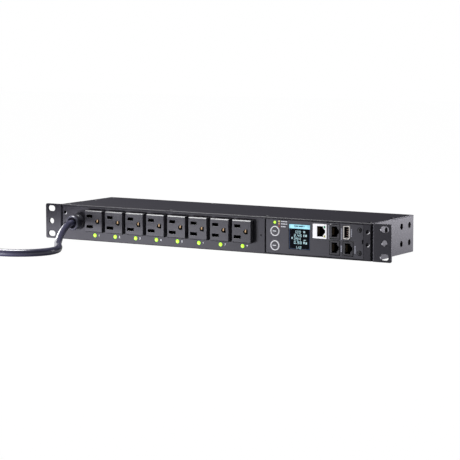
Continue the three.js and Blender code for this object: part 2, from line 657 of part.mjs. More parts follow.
// The moulded plug, lying on the coil and pointing along Y.
function plugBody() {
  const { x, z } = PLUG_AXIS;
  const halfWidth = PLUG.width / 2;
  const halfThickness = PLUG.thickness / 2 - GAP;
  const corner = PLUG.corner;
  const outline = new THREE.Shape();
  outline.absarc(halfWidth - corner, halfThickness - corner, corner, 0, Math.PI / 2, false);
  outline.absarc(corner - halfWidth, halfThickness - corner, corner, Math.PI / 2, Math.PI, false);
  outline.absarc(corner - halfWidth, corner - halfThickness, corner, Math.PI, 1.5 * Math.PI, false);
  outline.absarc(halfWidth - corner, corner - halfThickness, corner, 1.5 * Math.PI, 2 * Math.PI, false);
  const body = new THREE.ExtrudeGeometry(outline, { depth: PLUG.length, bevelEnabled: false, curveSegments: 4 });
  body.rotateX(Math.PI / 2);
  body.translate(x, PLUG_FACE, z);
  const [thin, thick] = PLUG.reliefRadii;
  const relief = bar("y", [x, z], [RELIEF_START, RELIEF_START + PLUG.relief + 1], thin, thick);
  return joined(solid(body), relief);
}

function plugBlade({ x, half }) {
  const from = PLUG_FACE + GAP;
  return block(
    about(PLUG_AXIS.x + x, half[0]),
    [from, from + PLUG.blade],
    about(PLUG_AXIS.z - BLADE_DROP, half[1]),
  );
}

function plugEarthPin() {
  const from = PLUG_FACE + GAP;
  const at = [PLUG_AXIS.x, PLUG_AXIS.z + EARTH_PIN.rise];
  return bar("y", at, [from, from + EARTH_PIN.length], EARTH_PIN.radius, EARTH_PIN.radius, 16);
}

// ---- Assembly ----
piece("chassis_tray", chassisTray(), PAINT);
piece("top_cover", topCover(), PAINT);

piece("right_ear", rightEar(), PAINT);
mirroredPiece("left_ear", rightEar(), PAINT);
EAR_SCREW.rows.forEach((y, row) => {
  EAR_SCREW.heights.forEach((z, level) => {
    const number = row * EAR_SCREW.heights.length + level + 1;
    piece(`right_ear_screw_${number}`, earScrew(y, z), SCREW_STEEL);
    mirroredPiece(`left_ear_screw_${number}`, earScrew(y, z), SCREW_STEEL);
  });
});

outlets.forEach((index) => {
  const x = outletX(index);
  piece(`outlet_${index + 1}`, outlet(x), OUTLET_PLASTIC);
  piece(`line_contact_${index + 1}`, lineContact(x), BRASS);
  piece(`relay_${index + 1}`, relay(x), RELAY_PLASTIC);
});
piece("neutral_bus", neutralBus(), BRASS);
piece("earth_bus", earthBus(), BRASS);
piece("outlet_lamp_pipe", lampPipe(), LAMP_PLASTIC);
piece("power_board", powerBoard(), BOARD_LAMINATE);
piece("power_supply", powerSupply(), SUPPLY_PLASTIC);
piece("terminal_block", terminalBlock(), TERMINAL_PLASTIC);

piece("module_plate", modulePlate(), MODULE_PAINT);
piece("control_board", controlBoard(), BOARD_LAMINATE);
piece("display_module", displayModule(), DISPLAY_GLASS);
piece("status_light", statusLight(), LAMP_PLASTIC);
for (const [place, z] of Object.entries(BUTTON.heights)) {
  piece(`button_${place}`, button(z), BUTTON_PLASTIC);
}
for (const [place, at] of Object.entries(JACK_PLACES)) {
  piece(`modular_jack_${place}`, modularJack(at), JACK_PLASTIC);
}
piece("ethernet_jack", ethernetJack(), SHIELD_STEEL);
piece("usb_port", usbPort(), SHIELD_STEEL);

piece("cord_gland", cordGland(), GLAND_PLASTIC);
piece("power_cord", cordAlong(LEAD_ROUTE), JACKET);
piece("cord_coil", cordCoil(), JACKET);
piece("plug_body", plugBody(), JACKET);
for (const [name, blade] of Object.entries(BLADES)) {
  piece(name, plugBlade(blade), BLADE_METAL);
}
piece("plug_earth_pin", plugEarthPin(), BLADE_METAL);

const rackPowerStrip = new THREE.Group();
rackPowerStrip.add(unit);

export default rackPowerStrip;
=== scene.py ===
"""A one-unit rack power strip: the finished look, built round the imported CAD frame.

Shapes are drawn in the unit's own millimetres: X along the rack's width, Y from the front panel's
face into the rack, Z up from the underside. PLACE turns them into the frame's metres.
"""
import math

import bmesh
import bpy
from mathutils import Matrix, Vector


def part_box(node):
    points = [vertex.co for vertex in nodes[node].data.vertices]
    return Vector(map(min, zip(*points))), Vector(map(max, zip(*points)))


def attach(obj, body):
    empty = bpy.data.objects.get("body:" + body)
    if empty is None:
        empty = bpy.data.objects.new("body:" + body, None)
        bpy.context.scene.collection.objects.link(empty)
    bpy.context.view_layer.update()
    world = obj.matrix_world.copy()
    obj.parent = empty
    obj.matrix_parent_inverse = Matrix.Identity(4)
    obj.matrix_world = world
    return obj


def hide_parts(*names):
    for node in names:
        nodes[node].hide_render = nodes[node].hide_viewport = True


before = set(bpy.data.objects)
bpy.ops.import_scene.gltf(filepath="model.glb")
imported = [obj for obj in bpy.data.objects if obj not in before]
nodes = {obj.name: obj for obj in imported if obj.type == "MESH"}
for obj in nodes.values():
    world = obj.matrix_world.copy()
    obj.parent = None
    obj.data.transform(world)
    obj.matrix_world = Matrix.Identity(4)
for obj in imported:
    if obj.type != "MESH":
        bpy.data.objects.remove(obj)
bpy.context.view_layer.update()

scene = bpy.context.scene

MM = 0.001
PANEL_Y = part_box("chassis_tray")[0].y
PLACE = Matrix.Translation((0, PANEL_Y, 0)) @ Matrix.Scale(MM, 4)

# ---- Driving dimensions, in millimetres ----
HALF_WIDTH = 216.5
DEPTH = 110
TOP = 43.8
SHEET = 1.2
COVER_LIP = 42.0
WALL_TOP = 42.2
PANEL_TOP = 41.7
BEND = 1.3
CORNER_GAP = 1.25
FLANGE = 12
LEDGES = ((68, 82.2), (194.9, 214))

EAR_OUTER = 241.3
EAR_THICK = 2
EAR_BEND = 2.8
EAR_INNER = HALF_WIDTH + 0.3
EAR_FACE = EAR_INNER + EAR_THICK
EAR_DEPTH = 44
RACK_HOLE_X = 232.55
RACK_MIDDLE = 21.8
RACK_RISE = 15.875
RACK_SLOT = (5.5, 3.6)
EAR_HALF_HEIGHT = 21.8
SCREW_HEIGHTS = (12.2, 32.7)
EAR_SCREW_ROWS = (11.4, 32.5)
EAR_SCREWS = [(y, z) for y in EAR_SCREW_ROWS for z in SCREW_HEIGHTS]
OPEN_HOLE_ROW = 77.5
WALL_SCREW_ROW = 98.6
COVER_SCREWS = [(x, y) for x in (-211, -60, 74, 210) for y in (7.5, 102.5)] + [(-211.5, 64), (210.5, 64)]

OUTLET_COUNT = 8
FIRST_OUTLET_X = -164.4
OUTLET_PITCH = 30.4
OUTLET_Z = 25
OUTLET_HALF = (13, 13.5)
OUTLET_FRONT = -6
OUTLET_BACK = 22
BEHIND_OUTLET = 24
# The depth where the painted-shade sleeves in the slots end and the chambers begin.
SHADE_SLEEVE_END = -1
SLOT_X = -5.4
SLOT_RISE = 6.4
SLOTS = ((SLOT_X, OUTLET_Z + SLOT_RISE, 4.1, 1.8), (SLOT_X, OUTLET_Z - SLOT_RISE, 4.8, 1.8))
LAMP_OFFSET = -1.7
LAMP_Z = 7.3
NUMERAL_OFFSET = 4.7
NUMERAL_HEIGHT = 2.6
OUTLET_OPENING = (12.3, 12.8)

END_HOLES = [(side * 211.5, z) for side in (-1, 1) for z in (18.9, 33.5)]
PIN_HOLE = (72.2, 21.8)
THROUGH = 3

MODULE = (78.7, 1.8, 205.9, 41.4)
LATCH_NOTCH = (19.4, 24.2, 1.6)
WINDOW = (109.1, 7.8, 137.1, 37.3)
STATUS = (90.3, 38)
BUTTON_X = 90.8
BUTTON_HEIGHTS = {"upper": 27.8, "lower": 10.9}
JACKS = {"upper": (169.5, 31.5), "lower_left": (169.5, 12.9), "lower_right": (186.7, 12.9)}
ETHERNET = (140.8, 22.4, 158.6, 39.1)
ETHERNET_MOUTH_X = 150.4
SOCKET_DEPTH = 13
SOCKET_BACK = 15.2
USB = (184.4, 31.3)
MODULE_SCREWS = ((201.2, 35.2), (201.2, 8.7))
HEADER_WORDS = ((116, 1), (117.6, 3.6), (122, 5.4), (128.4, 1.2))
LABELS = (
    (161.6, 22.6, 39, 11), (178.2, 23, 36, 8), (178, 8.8, 16.5, 4), (190.8, 27, 36, 5), (195.6, 8, 17, 6),
)

GLAND = (-191.3, 22.5)
CORD_RADIUS = 4.4
COIL = (-302, -124.2)
COIL_RADII = (55.8, 47, 38.2)
COIL_LEVELS = (4.7, 13.5, 22.3, 31.1)
COIL_TURNS = 11
COIL_START = -90
TAIL_START = -60
STEP_ANGLE = 120
TAIL_RADIUS = 36
PLUG_Z = 46.5

# The lead from the gland down to the floor and round to the coil, as in the CAD.
LEAD_ROUTE = [
    (-191.3, -9.3, 22.5), (-191.3, -11.5, 22.5), (-191.2, -14, 22.45), (-190.3, -20.5, 21.8),
    (-188, -30, 19.8), (-184.9, -40, 16.6), (-181, -50, 12.9), (-176.3, -60, 9.3),
    (-170.5, -70, 6.5), (-163.8, -80, 5), (-156.3, -90, 4.7), (-148.2, -100, 4.7),
    (-140, -111, 4.7), (-133.3, -123, 4.7), (-130.2, -136, 4.7), (-131.8, -149.5, 4.7),
    (-138.5, -162, 4.7), (-149, -171.5, 4.7), (-162, -177.5, 4.7), (-177, -180, 4.7),
    (-195, -180.3, 4.7), (-217, -180.2, 4.7), (-240, -180.1, 4.7), (-269, -180, 4.7),
    (-284, -180, 4.7),
]

outlet_places = [FIRST_OUTLET_X + OUTLET_PITCH * index for index in range(OUTLET_COUNT)]


# ---- Helpers for objects and shaders ----
def put(name, data):
    """Puts data into the scene as an object."""
    made = bpy.data.objects.new(name, data)
    scene.collection.objects.link(made)
    return made


def set_inputs(node, inputs):
    for socket, value in inputs.items():
        node.inputs[socket.replace("_", " ")].default_value = value


def add_node(tree, kind, **inputs):
    """A new shader node of a kind, with some of its inputs set."""
    node = tree.nodes.new("ShaderNode" + kind)
    set_inputs(node, inputs)
    return node


def noise(tree, scale, detail=3):
    """A noise texture in the object's own coordinates."""
    place = add_node(tree, "TexCoord")
    texture = add_node(tree, "TexNoise", Scale=scale, Detail=detail)
    tree.links.new(place.outputs["Object"], texture.inputs["Vector"])
    return texture.outputs["Fac"]


def seen_by_camera(tree, hidden, shown):
    """Mixes two shaders so that the camera sees one while the object is lit by the other."""
    path = add_node(tree, "LightPath")
    mix = add_node(tree, "MixShader")
    tree.links.new(path.outputs["Is Camera Ray"], mix.inputs["Fac"])
    tree.links.new(hidden, mix.inputs[1])
    tree.links.new(shown, mix.inputs[2])
    return mix.outputs[0]


# ---- Camera, floor and light ----
def place_camera():
    azimuth = math.radians(31.13)
    elevation = math.radians(6.42)
    distance = 2.1603
    aim = Vector((0.02944, PANEL_Y, 0.02532))
    back = Vector((
        math.sin(azimuth) * math.cos(elevation),
        -math.cos(azimuth) * math.cos(elevation),
        math.sin(elevation),
    ))
    data = bpy.data.cameras.new("camera")
    data.lens = 142.84
    data.clip_end = 50
    camera = put("camera", data)
    camera.location = aim + back * distance
    camera.rotation_euler = (-back).to_track_quat("-Z", "Y").to_euler()
    scene.camera = camera


def softbox(name, location, target, size, strength, colour=(1, 1, 1)):
    """A rectangular light that faces its target; strength is its radiance, whatever its size."""
    data = bpy.data.lights.new(name, "AREA")
    data.shape = "RECTANGLE"
    data.size, data.size_y = size
    data.energy = strength * size[0] * size[1] * math.pi
    data.color = colour
    lamp = put(name, data)
    lamp.location = location
    lamp.rotation_euler = (Vector(target) - Vector(location)).to_track_quat("-Z", "Y").to_euler()
    lamp.visible_camera = False


def light_studio():
    """A white room to the camera, and a dim one to the object, lit by softboxes."""
    world = bpy.data.worlds.new("studio")
    scene.world = world
    world.use_nodes = True
    tree = world.node_tree
    tree.nodes.clear()
    dim = add_node(tree, "Background", Color=(0.86, 0.88, 1, 1), Strength=0.06)
    white = add_node(tree, "Background", Color=(1, 1, 1, 1))
    output = add_node(tree, "OutputWorld")
    tree.links.new(seen_by_camera(tree, dim.outputs[0], white.outputs[0]), output.inputs["Surface"])
    softbox("overhead", (-0.45, -0.12, 0.85), (0, 0, 0), (0.45, 0.45), 15)
    softbox("left_front", (-0.46, -0.52, -0.17), (-0.35, -0.05, 0.02), (0.36, 0.2), 15, (0.91, 0.9, 1))
    softbox("left_side", (-0.88, 0.32, 0.26), (-0.2, -0.05, 0.02), (0.26, 0.4), 6)
    softbox("right_back", (0.72, 0.85, 0.16), (0.21, 0.02, 0.02), (0.5, 0.28), 20.5, (0.93, 0.91, 1))
    scene.view_settings.view_transform = "Standard"


def lay_floor():
    """A pale floor, nearly white to the camera, that throws little light back at the object."""
    mesh = bpy.data.meshes.new("floor")
    mesh.from_pydata([(-4, -4, 0), (4, -4, 0), (4, 4, 0), (-4, 4, 0)], [], [(0, 1, 2, 3)])
    paint = bpy.data.materials.new("floor_paint")
    paint.use_nodes = True
    tree = paint.node_tree
    shader = tree.nodes["Principled BSDF"]
    shader.inputs["Roughness"].default_value = 0.9
    ramp = add_node(tree, "ValToRGB")
    ramp.color_ramp.elements[0].color = (0.29, 0.29, 0.3, 1)
    ramp.color_ramp.elements[1].color = (0.32, 0.32, 0.32, 1)
    tree.links.new(noise(tree, 6, 2), ramp.inputs["Fac"])
    tree.links.new(ramp.outputs["Color"], shader.inputs["Base Color"])
    glow = add_node(tree, "Emission", Strength=1.08)
    soft = add_node(tree, "MixShader", Fac=0.92)
    tree.links.new(shader.outputs[0], soft.inputs[1])
    tree.links.new(glow.outputs[0], soft.inputs[2])
    surface = tree.nodes["Material Output"].inputs["Surface"]
    tree.links.new(seen_by_camera(tree, shader.outputs[0], soft.outputs[0]), surface)
    mesh.materials.append(paint)
    floor = put("floor", mesh)
    floor.visible_shadow = False


place_camera()
light_studio()
lay_floor()


# ---- Outlines, in the plane that a shape faces ----
def arc(u, v, radius, start, end, steps):
    """Points round a centre between two angles in degrees."""
    angles = [math.radians(start + (end - start) * step / steps) for step in range(steps + 1)]
    return [(u + radius * math.cos(angle), v + radius * math.sin(angle)) for angle in angles]


def circle(u, v, radius, steps):
    return arc(u, v, radius, 0, 360, steps)[:-1]


def rounded(u0, v0, u1, v1, radius, steps=4):
    """A rectangle with round corners."""
    corners = ((u1, v1, 0), (u0, v1, 90), (u0, v0, 180), (u1, v0, 270))
    points = []
    for u, v, start in corners:
        centre_u = u - radius if u == u1 else u + radius
        centre_v = v - radius if v == v1 else v + radius
        points += arc(centre_u, centre_v, radius, start, start + 90, steps)
    return points


def about(u, v, half_u, half_v, radius, steps=4):
    return rounded(u - half_u, v - half_v, u + half_u, v + half_v, radius, steps)


def clipped_circle(u, v, radius, flat):
    """A circle with a flat on its left and its right."""
    return [(min(max(a, u - flat), u + flat), b) for a, b in circle(u, v, radius, 48)]


def lift(points, depth, facing="y"):
    """An outline's points in space, at a depth along the axis that it faces."""
    if facing == "x":
        return [(depth, u, v) for u, v in points]
    if facing == "y":
        return [(u, depth, v) for u, v in points]
    return [(u, v, depth) for u, v in points]


# ---- Solids, as meshes in millimetres ----
def to_mesh(bm):
    mesh = bpy.data.meshes.new("shape")
    bmesh.ops.recalc_face_normals(bm, faces=bm.faces)
    bm.to_mesh(mesh)
    bm.free()
    return mesh


def loft(loops, ring=False):
    """A closed solid through loops of equally many points; a ring joins its last loop to its first."""
    bm = bmesh.new()
    rows = [[bm.verts.new(point) for point in loop] for loop in loops]
    pairs = list(zip(rows, rows[1:]))
    if ring:
        pairs.append((rows[-1], rows[0]))
    else:
        bm.faces.new(rows[0])
        bm.faces.new(rows[-1])
    count = len(rows[0])
    for row, following in pairs:
        for index in range(count):
            after = (index + 1) % count
            bm.faces.new((row[index], row[after], following[after], following[index]))
    return to_mesh(bm)


def turned(profile, centre, facing="y", steps=32, ring=False):
    """A turned solid: its profile is (place along the axis, radius) pairs."""
    return loft([lift(circle(*centre, radius, steps), along, facing) for along, radius in profile], ring)


def prism(outline, front, back):
    """The mesh of a plain outline between two depths along Y."""
    return loft([lift(outline, front), lift(outline, back)])


def block(bounds, corner, front, back, edge):
    """A block with round corners that faces along Y, its front edge rounded by the edge radius."""
    steps = 4
    u0, v0, u1, v1 = bounds
    direction = 1 if back > front else -1
    loops = []
    for step in range(steps + 1):
        angle = math.pi / 2 * step / steps
        inset = edge * (1 - math.sin(angle))
        depth = front + direction * edge * (1 - math.cos(angle))
        radius = max(corner - inset, 0.02)
        loops.append(lift(rounded(u0 + inset, v0 + inset, u1 - inset, v1 - inset, radius), depth))
    loops.append(lift(rounded(*bounds, corner), back))
    return loft(loops)


def slot_cutter(u, v, half_u, half_v, radius, front, back, flare):
    """A cutter for a slot that is wider at the face by the flare."""
    return loft([
        lift(about(u, v, half_u + 2 * flare, half_v + 2 * flare, radius + 2 * flare), front - flare),
        lift(about(u, v, half_u, half_v, radius), front + flare),
        lift(about(u, v, half_u, half_v, radius), back),
    ])


def evaluated(holder):
    """The mesh that an object shows, with the object taken away."""
    graph = bpy.context.evaluated_depsgraph_get()
    mesh = bpy.data.meshes.new_from_object(holder.evaluated_get(graph), depsgraph=graph)
    bpy.data.objects.remove(holder)
    return mesh


def merged(*meshes):
    bm = bmesh.new()
    for mesh in meshes:
        bm.from_mesh(mesh)
    joined = bpy.data.meshes.new("shape")
    bm.to_mesh(joined)
    bm.free()
    return joined


def sheet(outline, low, high, edge, facing, holes=()):
    """A flat plate with rounded edges, its outline and holes drawn in the plane that it faces."""
    curve = bpy.data.curves.new("outline", "CURVE")
    curve.dimensions = "2D"
    curve.fill_mode = "BOTH"
    curve.extrude = (high - low) / 2 - edge
    curve.bevel_depth = edge
    curve.bevel_resolution = 2
    curve.offset = -edge
    for points in (outline, *holes):
        spline = curve.splines.new("POLY")
        spline.points.add(len(points) - 1)
        for point, (u, v) in zip(spline.points, points):
            point.co = (u, v, 0, 1)
        spline.use_cyclic_u = True
    mesh = evaluated(put("outline", curve))
    bm = bmesh.new()
    bm.from_mesh(mesh)
    bmesh.ops.remove_doubles(bm, verts=bm.verts, dist=0.001)
    for vertex in bm.verts:
        u, v, w = vertex.co
        vertex.co = lift([(u, v)], w + (low + high) / 2, facing)[0]
    return to_mesh(bm)


def combine(mesh, tools, operation):
    body = put("body", mesh)
    cutter = put("cutter", merged(*tools))
    modifier = body.modifiers.new("combine", "BOOLEAN")
    modifier.operation = operation
    modifier.solver = "EXACT"
    modifier.object = cutter
    result = evaluated(body)
    bpy.data.objects.remove(cutter)
    return result


def carved(mesh, *tools):
    return combine(mesh, tools, "DIFFERENCE")


def transformed(mesh, matrix):
    copy = mesh.copy()
    copy.transform(matrix)
    return copy


def moved(mesh, x):
    return transformed(mesh, Matrix.Translation((x, 0, 0)))


def mirrored(mesh):
    """The same shape on the unit's other side."""
    copy = transformed(mesh, Matrix.Scale(-1, 4, (1, 0, 0)))
    copy.flip_normals()
    return copy


def piece(name, mesh, material, stands_for=(), body="unit", sharp=35):
    """Puts a mesh drawn in millimetres into the frame as a piece of the object."""
    mesh.name = name
    mesh.transform(PLACE)
    mesh.materials.clear()
    mesh.materials.append(material)
    mesh.shade_smooth()
    mesh.set_sharp_from_angle(angle=math.radians(sharp))
    made = put(name, mesh)
    weighted = made.modifiers.new("flat_faces", "WEIGHTED_NORMAL")
    weighted.keep_sharp = True
    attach(made, body)
    if stands_for:
        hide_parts(*stands_for)
    return made


# ---- Finishes: all procedural, in object coordinates ----
def spread(tree, value, low, high):
    """A texture's value stretched over a range."""
    stretch = add_node(tree, "MapRange", From_Min=0.3, From_Max=0.7, To_Min=low, To_Max=high)
    tree.links.new(value, stretch.inputs["Value"])
    return stretch.outputs["Result"]


def shade(tree, value, colour, vary):
    """Runs between a darker and a lighter tint of the colour."""
    ramp = add_node(tree, "ValToRGB")
    for element, place, factor in zip(ramp.color_ramp.elements, (0.3, 0.7), (1 - vary, 1 + vary)):
        element.position = place
        element.color = [min(channel * factor, 1) for channel in colour] + [1]
    tree.links.new(value, ramp.inputs["Fac"])
    return ramp.outputs["Color"]


def finish(name, colour, roughness, vary=0.08, patch=40, grain=1400, relief=0.05, **settings):
    """A surface with drifting colour, uneven gloss and a fine grain; settings are shader sockets."""
    material = bpy.data.materials.new(name)
    material.use_nodes = True
    tree = material.node_tree
    shader = tree.nodes["Principled BSDF"]
    tree.links.new(shade(tree, noise(tree, patch), colour, vary), shader.inputs["Base Color"])
    fine = noise(tree, grain)
    tree.links.new(spread(tree, fine, roughness * 0.88, roughness * 1.12), shader.inputs["Roughness"])
    bump = add_node(tree, "Bump", Strength=1, Distance=relief * MM)
    tree.links.new(fine, bump.inputs["Height"])
    tree.links.new(bump.outputs["Normal"], shader.inputs["Normal"])
    set_inputs(shader, settings)
    return material


def lit(name, colour, strength, edge=None, vary=0.1, patch=900):
    """A lamp, or a part or mark that is no lamp but glows as painted light: it glows with its colour, towards
    another colour in patches.
    """
    material = finish(name, colour, 0.3, vary=vary, patch=patch)
    tree = material.node_tree
    shader = tree.nodes["Principled BSDF"]
    glow = shade(tree, noise(tree, patch), edge or colour, vary)
    tree.links.new(glow, shader.inputs["Emission Color"])
    shader.inputs["Emission Strength"].default_value = strength
    return material


PAINT = finish(
    "charcoal_paint", (0.0262, 0.0238, 0.0335), 0.44, vary=0.05, relief=0.02, Specular_IOR_Level=0.6
)
PLATE_PAINT = finish("module_paint", (0.096, 0.094, 0.107), 0.5, vary=0.05, relief=0.02)
BLACK_STEEL = finish("screw_steel", (0.006, 0.006, 0.007), 0.6, relief=0.01, Specular_IOR_Level=0.01)
PLATE_STEEL = finish("plate_screw_steel", (0.05, 0.05, 0.053), 0.45, relief=0.01)
OUTLET_PLASTIC = finish("outlet_plastic", (0.088, 0.086, 0.096), 0.26, vary=0.05, relief=0.015)
# Brass darkened as painted shade, so the contacts deep inside the outlets stay dark.
SHADED_BRASS = finish("brass_painted_shade", (0.05, 0.036, 0.022), 0.6, vary=0.2, Metallic=0.6, relief=0.01)
# Brass that glows: the glow is a painted glint on the earth leaves.
LEAF_BRASS_GLINT = lit("contact_leaf_painted_glint", (0.8, 0.55, 0.32), 0.65)
LAMP_GLOW = lit("lamp_plastic", (0.45, 0.9, 0.05), 1.4, edge=(0.45, 1, 0.04))
# White and grey print, given a glow: the colour is print, and the glow is painted light.
INK = lit("white_print_painted_glow", (0.75, 0.77, 0.8), 0.45)
SOFT_INK = lit("label_print_painted_glow", (0.4, 0.41, 0.46), 0.3)
RELAY_PLASTIC = finish("relay_plastic", (0.016, 0.03, 0.045), 0.4)
LAMINATE = finish("board_laminate", (0.012, 0.09, 0.035), 0.4, patch=220)
SUPPLY_PLASTIC = finish("supply_plastic", (0.25, 0.22, 0.06), 0.5)
TERMINAL_PLASTIC = finish("terminal_plastic", (0.05, 0.21, 0.07), 0.4)
SCREEN_GLASS = finish(
    "display_glass", (0.001, 0.002, 0.006), 0.2, vary=0.3, relief=0.002, Specular_IOR_Level=0.12
)
SCREEN_EDGE = lit("screen_edge_glow", (0.004, 0.02, 0.06), 0.6)
HEADER_GLOW = lit("header_glow", (0.3, 0.62, 0.72), 0.9, vary=0.22, patch=260)
HEADER_MARK = finish("header_mark", (0.04, 0.15, 0.2), 0.3)
DIGIT_GLOW = lit("digit_glow", (0.36, 0.52, 0.55), 0.7, vary=0.4, patch=700)
# A white ring on the buttons, given a glow: the glow is painted light.
RING_PLASTIC = lit("button_ring", (0.8, 0.8, 0.82), 0.4)
BUTTON_PLASTIC = finish("button_plastic", (0.1, 0.099, 0.106), 0.45, relief=0.01)
JACK_PLASTIC = finish("jack_plastic", (0.075, 0.074, 0.08), 0.4, relief=0.01)
# Near-black plastic: the USB tongue's own colour, and painted shade inside the slots, sockets and USB shell
# and round the plate screws.
DARK_PLASTIC_AND_SHADE = finish("dark_plastic_and_painted_shade", (0.003, 0.003, 0.004), 0.7, Specular_IOR_Level=0.02)
# Pale steel that glows: the glow is a painted reflection. The painted highlight crescents use it too.
SHIELD_STEEL_SHEEN = lit("shield_steel", (0.9, 0.9, 0.92), 0.6, vary=0.04)
# Warm pale steel that glows: the glow is a painted reflection on the USB shell.
SHELL_STEEL_SHEEN = lit("socket_shell_painted_sheen", (0.8, 0.77, 0.73), 0.35, vary=0.06)
# Dark brown contact wires given a faint glow: the glow is a painted sheen.
CONTACT_WIRE = lit("contact_wire", (0.06, 0.045, 0.03), 0.2)
GLAND_PLASTIC = finish(
    "gland_plastic", (0.05, 0.05, 0.062), 0.3, relief=0.005, Specular_IOR_Level=0.9, Coat_Weight=1,
    Coat_Roughness=0.16,
)
# A lighter, bluer copy of the gland plastic: a painted highlight on the gland's rim.
HIGHLIGHT_SKIN_PLASTIC = finish("gland_rim", (0.13, 0.13, 0.17), 0.22, relief=0.004, Coat_Weight=1, Coat_Roughness=0.12)
# A black cord jacket whose colour is lifted to lilac-blue as a painted reflection of the lights.
SHEEN_JACKET = finish(
    "cord_jacket", (0.08, 0.078, 0.136), 0.3, relief=0.01, patch=90, Specular_IOR_Level=0.9, Coat_Weight=0.8,
    Coat_Roughness=0.12,
)
STRAP = finish("hook_and_loop", (0.012, 0.012, 0.013), 0.85, grain=2600, relief=0.12)
VINYL = finish("plug_vinyl", (0.012, 0.012, 0.017), 0.36, relief=0.03)
BLADE_METAL = finish("blade_brass", (0.78, 0.7, 0.5), 0.25, Metallic=1, relief=0.006)
# Contact pads given a faint glow: the glow is a painted sheen.
CONTACT_PAD = lit("contact_pad", (0.3, 0.22, 0.18), 0.25)
GREEN_LAMP = lit("link_lamp", (0.05, 0.35, 0.16), 0.25)
AMBER_LAMP = lit("activity_lamp", (0.5, 0.5, 0.1), 0.25)
# Coloured print for the legend, given a faint glow: the glow is painted light.
YELLOW_MARK = lit("yellow_mark", (0.75, 0.72, 0.25), 0.2)
ORANGE_MARK = lit("orange_mark", (0.75, 0.42, 0.22), 0.2)
RED_MARK = lit("red_mark", (0.32, 0.07, 0.06), 0.12)


# ---- Screws: one head with a cross recess, its face on the plane y = 0 ----
def cross_head(radius, depth, dome):
    """A head whose face looks along -Y; a flat one tapers behind its face, a domed one doesn't."""
    if dome:
        profile = [
            (-dome, 0.3 * radius), (-dome * 0.8, 0.65 * radius), (-dome * 0.3, 0.93 * radius), (0, radius),
            (depth, radius),
        ]
    else:
        profile = [(0.08, 0.35 * radius), (0, 0.93 * radius), (0.12, radius), (depth, 0.5 * radius)]
    head = turned(profile, (0, 0))
    long, narrow, floor = 0.56 * radius, 0.12 * radius, 0.45 * radius - dome
    across = slot_cutter(0, 0, long, narrow, 0.05, -dome, floor, 0.05)
    upright = slot_cutter(0, 0, narrow, long, 0.05, -dome, floor, 0.05)
    return carved(carved(head, across), upright)


FLAT_SCREW = cross_head(3.3, 1.8, 0)
SMALL_SCREW = cross_head(2.5, 1, 0)
PLATE_SCREW = cross_head(2.5, 0.6, 0.55)
TOWARDS_RIGHT = Matrix.Rotation(math.pi / 2, 4, "Z")
TOWARDS_LEFT = Matrix.Rotation(-math.pi / 2, 4, "Z")
UPWARDS = Matrix.Rotation(-math.pi / 2, 4, "X")


def placed(mesh, facing, twist, x, y, z):
    """A copy of a screw, turned about its own axis and faced the given way."""
    spin = Matrix.Rotation(math.radians(twist), 4, "Y")
    return transformed(mesh, Matrix.Translation((x, y, z)) @ facing @ spin)


# ---- Chassis ----
def bent_channel():
    """The folded section of the floor and the front and rear walls, in Y and Z."""
    inner = BEND - SHEET
    return (
        [(0, PANEL_TOP)]
        + arc(BEND, BEND, BEND, 180, 270, 6)
        + arc(DEPTH - BEND, BEND, BEND, 270, 360, 6)
        + [(DEPTH, PANEL_TOP), (DEPTH - SHEET, PANEL_TOP)]
        + arc(DEPTH - BEND, BEND, inner, 360, 270, 3)
        + arc(BEND, BEND, inner, 270, 180, 3)
        + [(SHEET, PANEL_TOP)]
    )


def panel_cutters():
    """The front wall's openings: outlets, lamps, four end holes, the gland, a pin hole and the module."""
    cutters = [slot_cutter(x, OUTLET_Z, *OUTLET_OPENING, 1, 0, THROUGH, 0.01) for x in outlet_places]
    cutters += [turned([(-1, 1.8), (THROUGH, 1.8)], (x + LAMP_OFFSET, LAMP_Z)) for x in outlet_places]
    cutters += [turned([(-0.2, 2.6), (0.45, 2), (THROUGH, 2)], place) for place in END_HOLES]
    cutters.append(turned([(-1, 8.6), (THROUGH, 8.6)], GLAND))
    cutters.append(turned([(-0.1, 1.2), (0.3, 0.8), (THROUGH, 0.8)], PIN_HOLE, steps=16))
    left, right = MODULE[0] - 1.8, MODULE[2] + 0.3
    opening = prism(rounded(left, 1.3, right, TOP + 3, 0.3), -1, 1.35)
    return cutters + [opening]


def side_wall():
    """The right side wall; its rear holes are dimpled for countersunk screws."""
    outline = rounded(1.5, 0, DEPTH - 0.3, TOP - SHEET - 0.1, 0.8)
    plate = sheet(outline, HALF_WIDTH - SHEET, HALF_WIDTH, 0.3, "x")
    plain = [(HALF_WIDTH - 3.5, 2), (HALF_WIDTH + 2.5, 2)]
    dimpled = [
        (HALF_WIDTH - 3.5, 3.1), (HALF_WIDTH - 0.6, 3.1), (HALF_WIDTH + 0.1, 3.8), (HALF_WIDTH + 0.5, 3.8),
    ]
    cutters = []
    for y in EAR_SCREW_ROWS:
        cutters += [turned(plain, (y, z), "x", 20) for z in SCREW_HEIGHTS]
    for y in (OPEN_HOLE_ROW, WALL_SCREW_ROW):
        cutters += [turned(dimpled, (y, z), "x", 28) for z in SCREW_HEIGHTS]
    return carved(plate, *cutters)


def top_flange():
    """The inward flange round the top of the tray, with a wide opening."""
    outline = rounded(1.5 - HALF_WIDTH, 1.6, HALF_WIDTH - 1.5, DEPTH - 1.6, 0.5)
    opening = rounded(FLANGE - HALF_WIDTH, FLANGE, HALF_WIDTH - FLANGE, DEPTH - FLANGE, 2)
    return sheet(outline, WALL_TOP - SHEET, WALL_TOP, 0.2, "z", [opening])


def ledge(left, right):
    """A strip behind the front wall that the module plate is screwed to."""
    return sheet(rounded(left, 1.8, right, 40.5, 0.5), 1.6, 2.8, 0.1, "y")


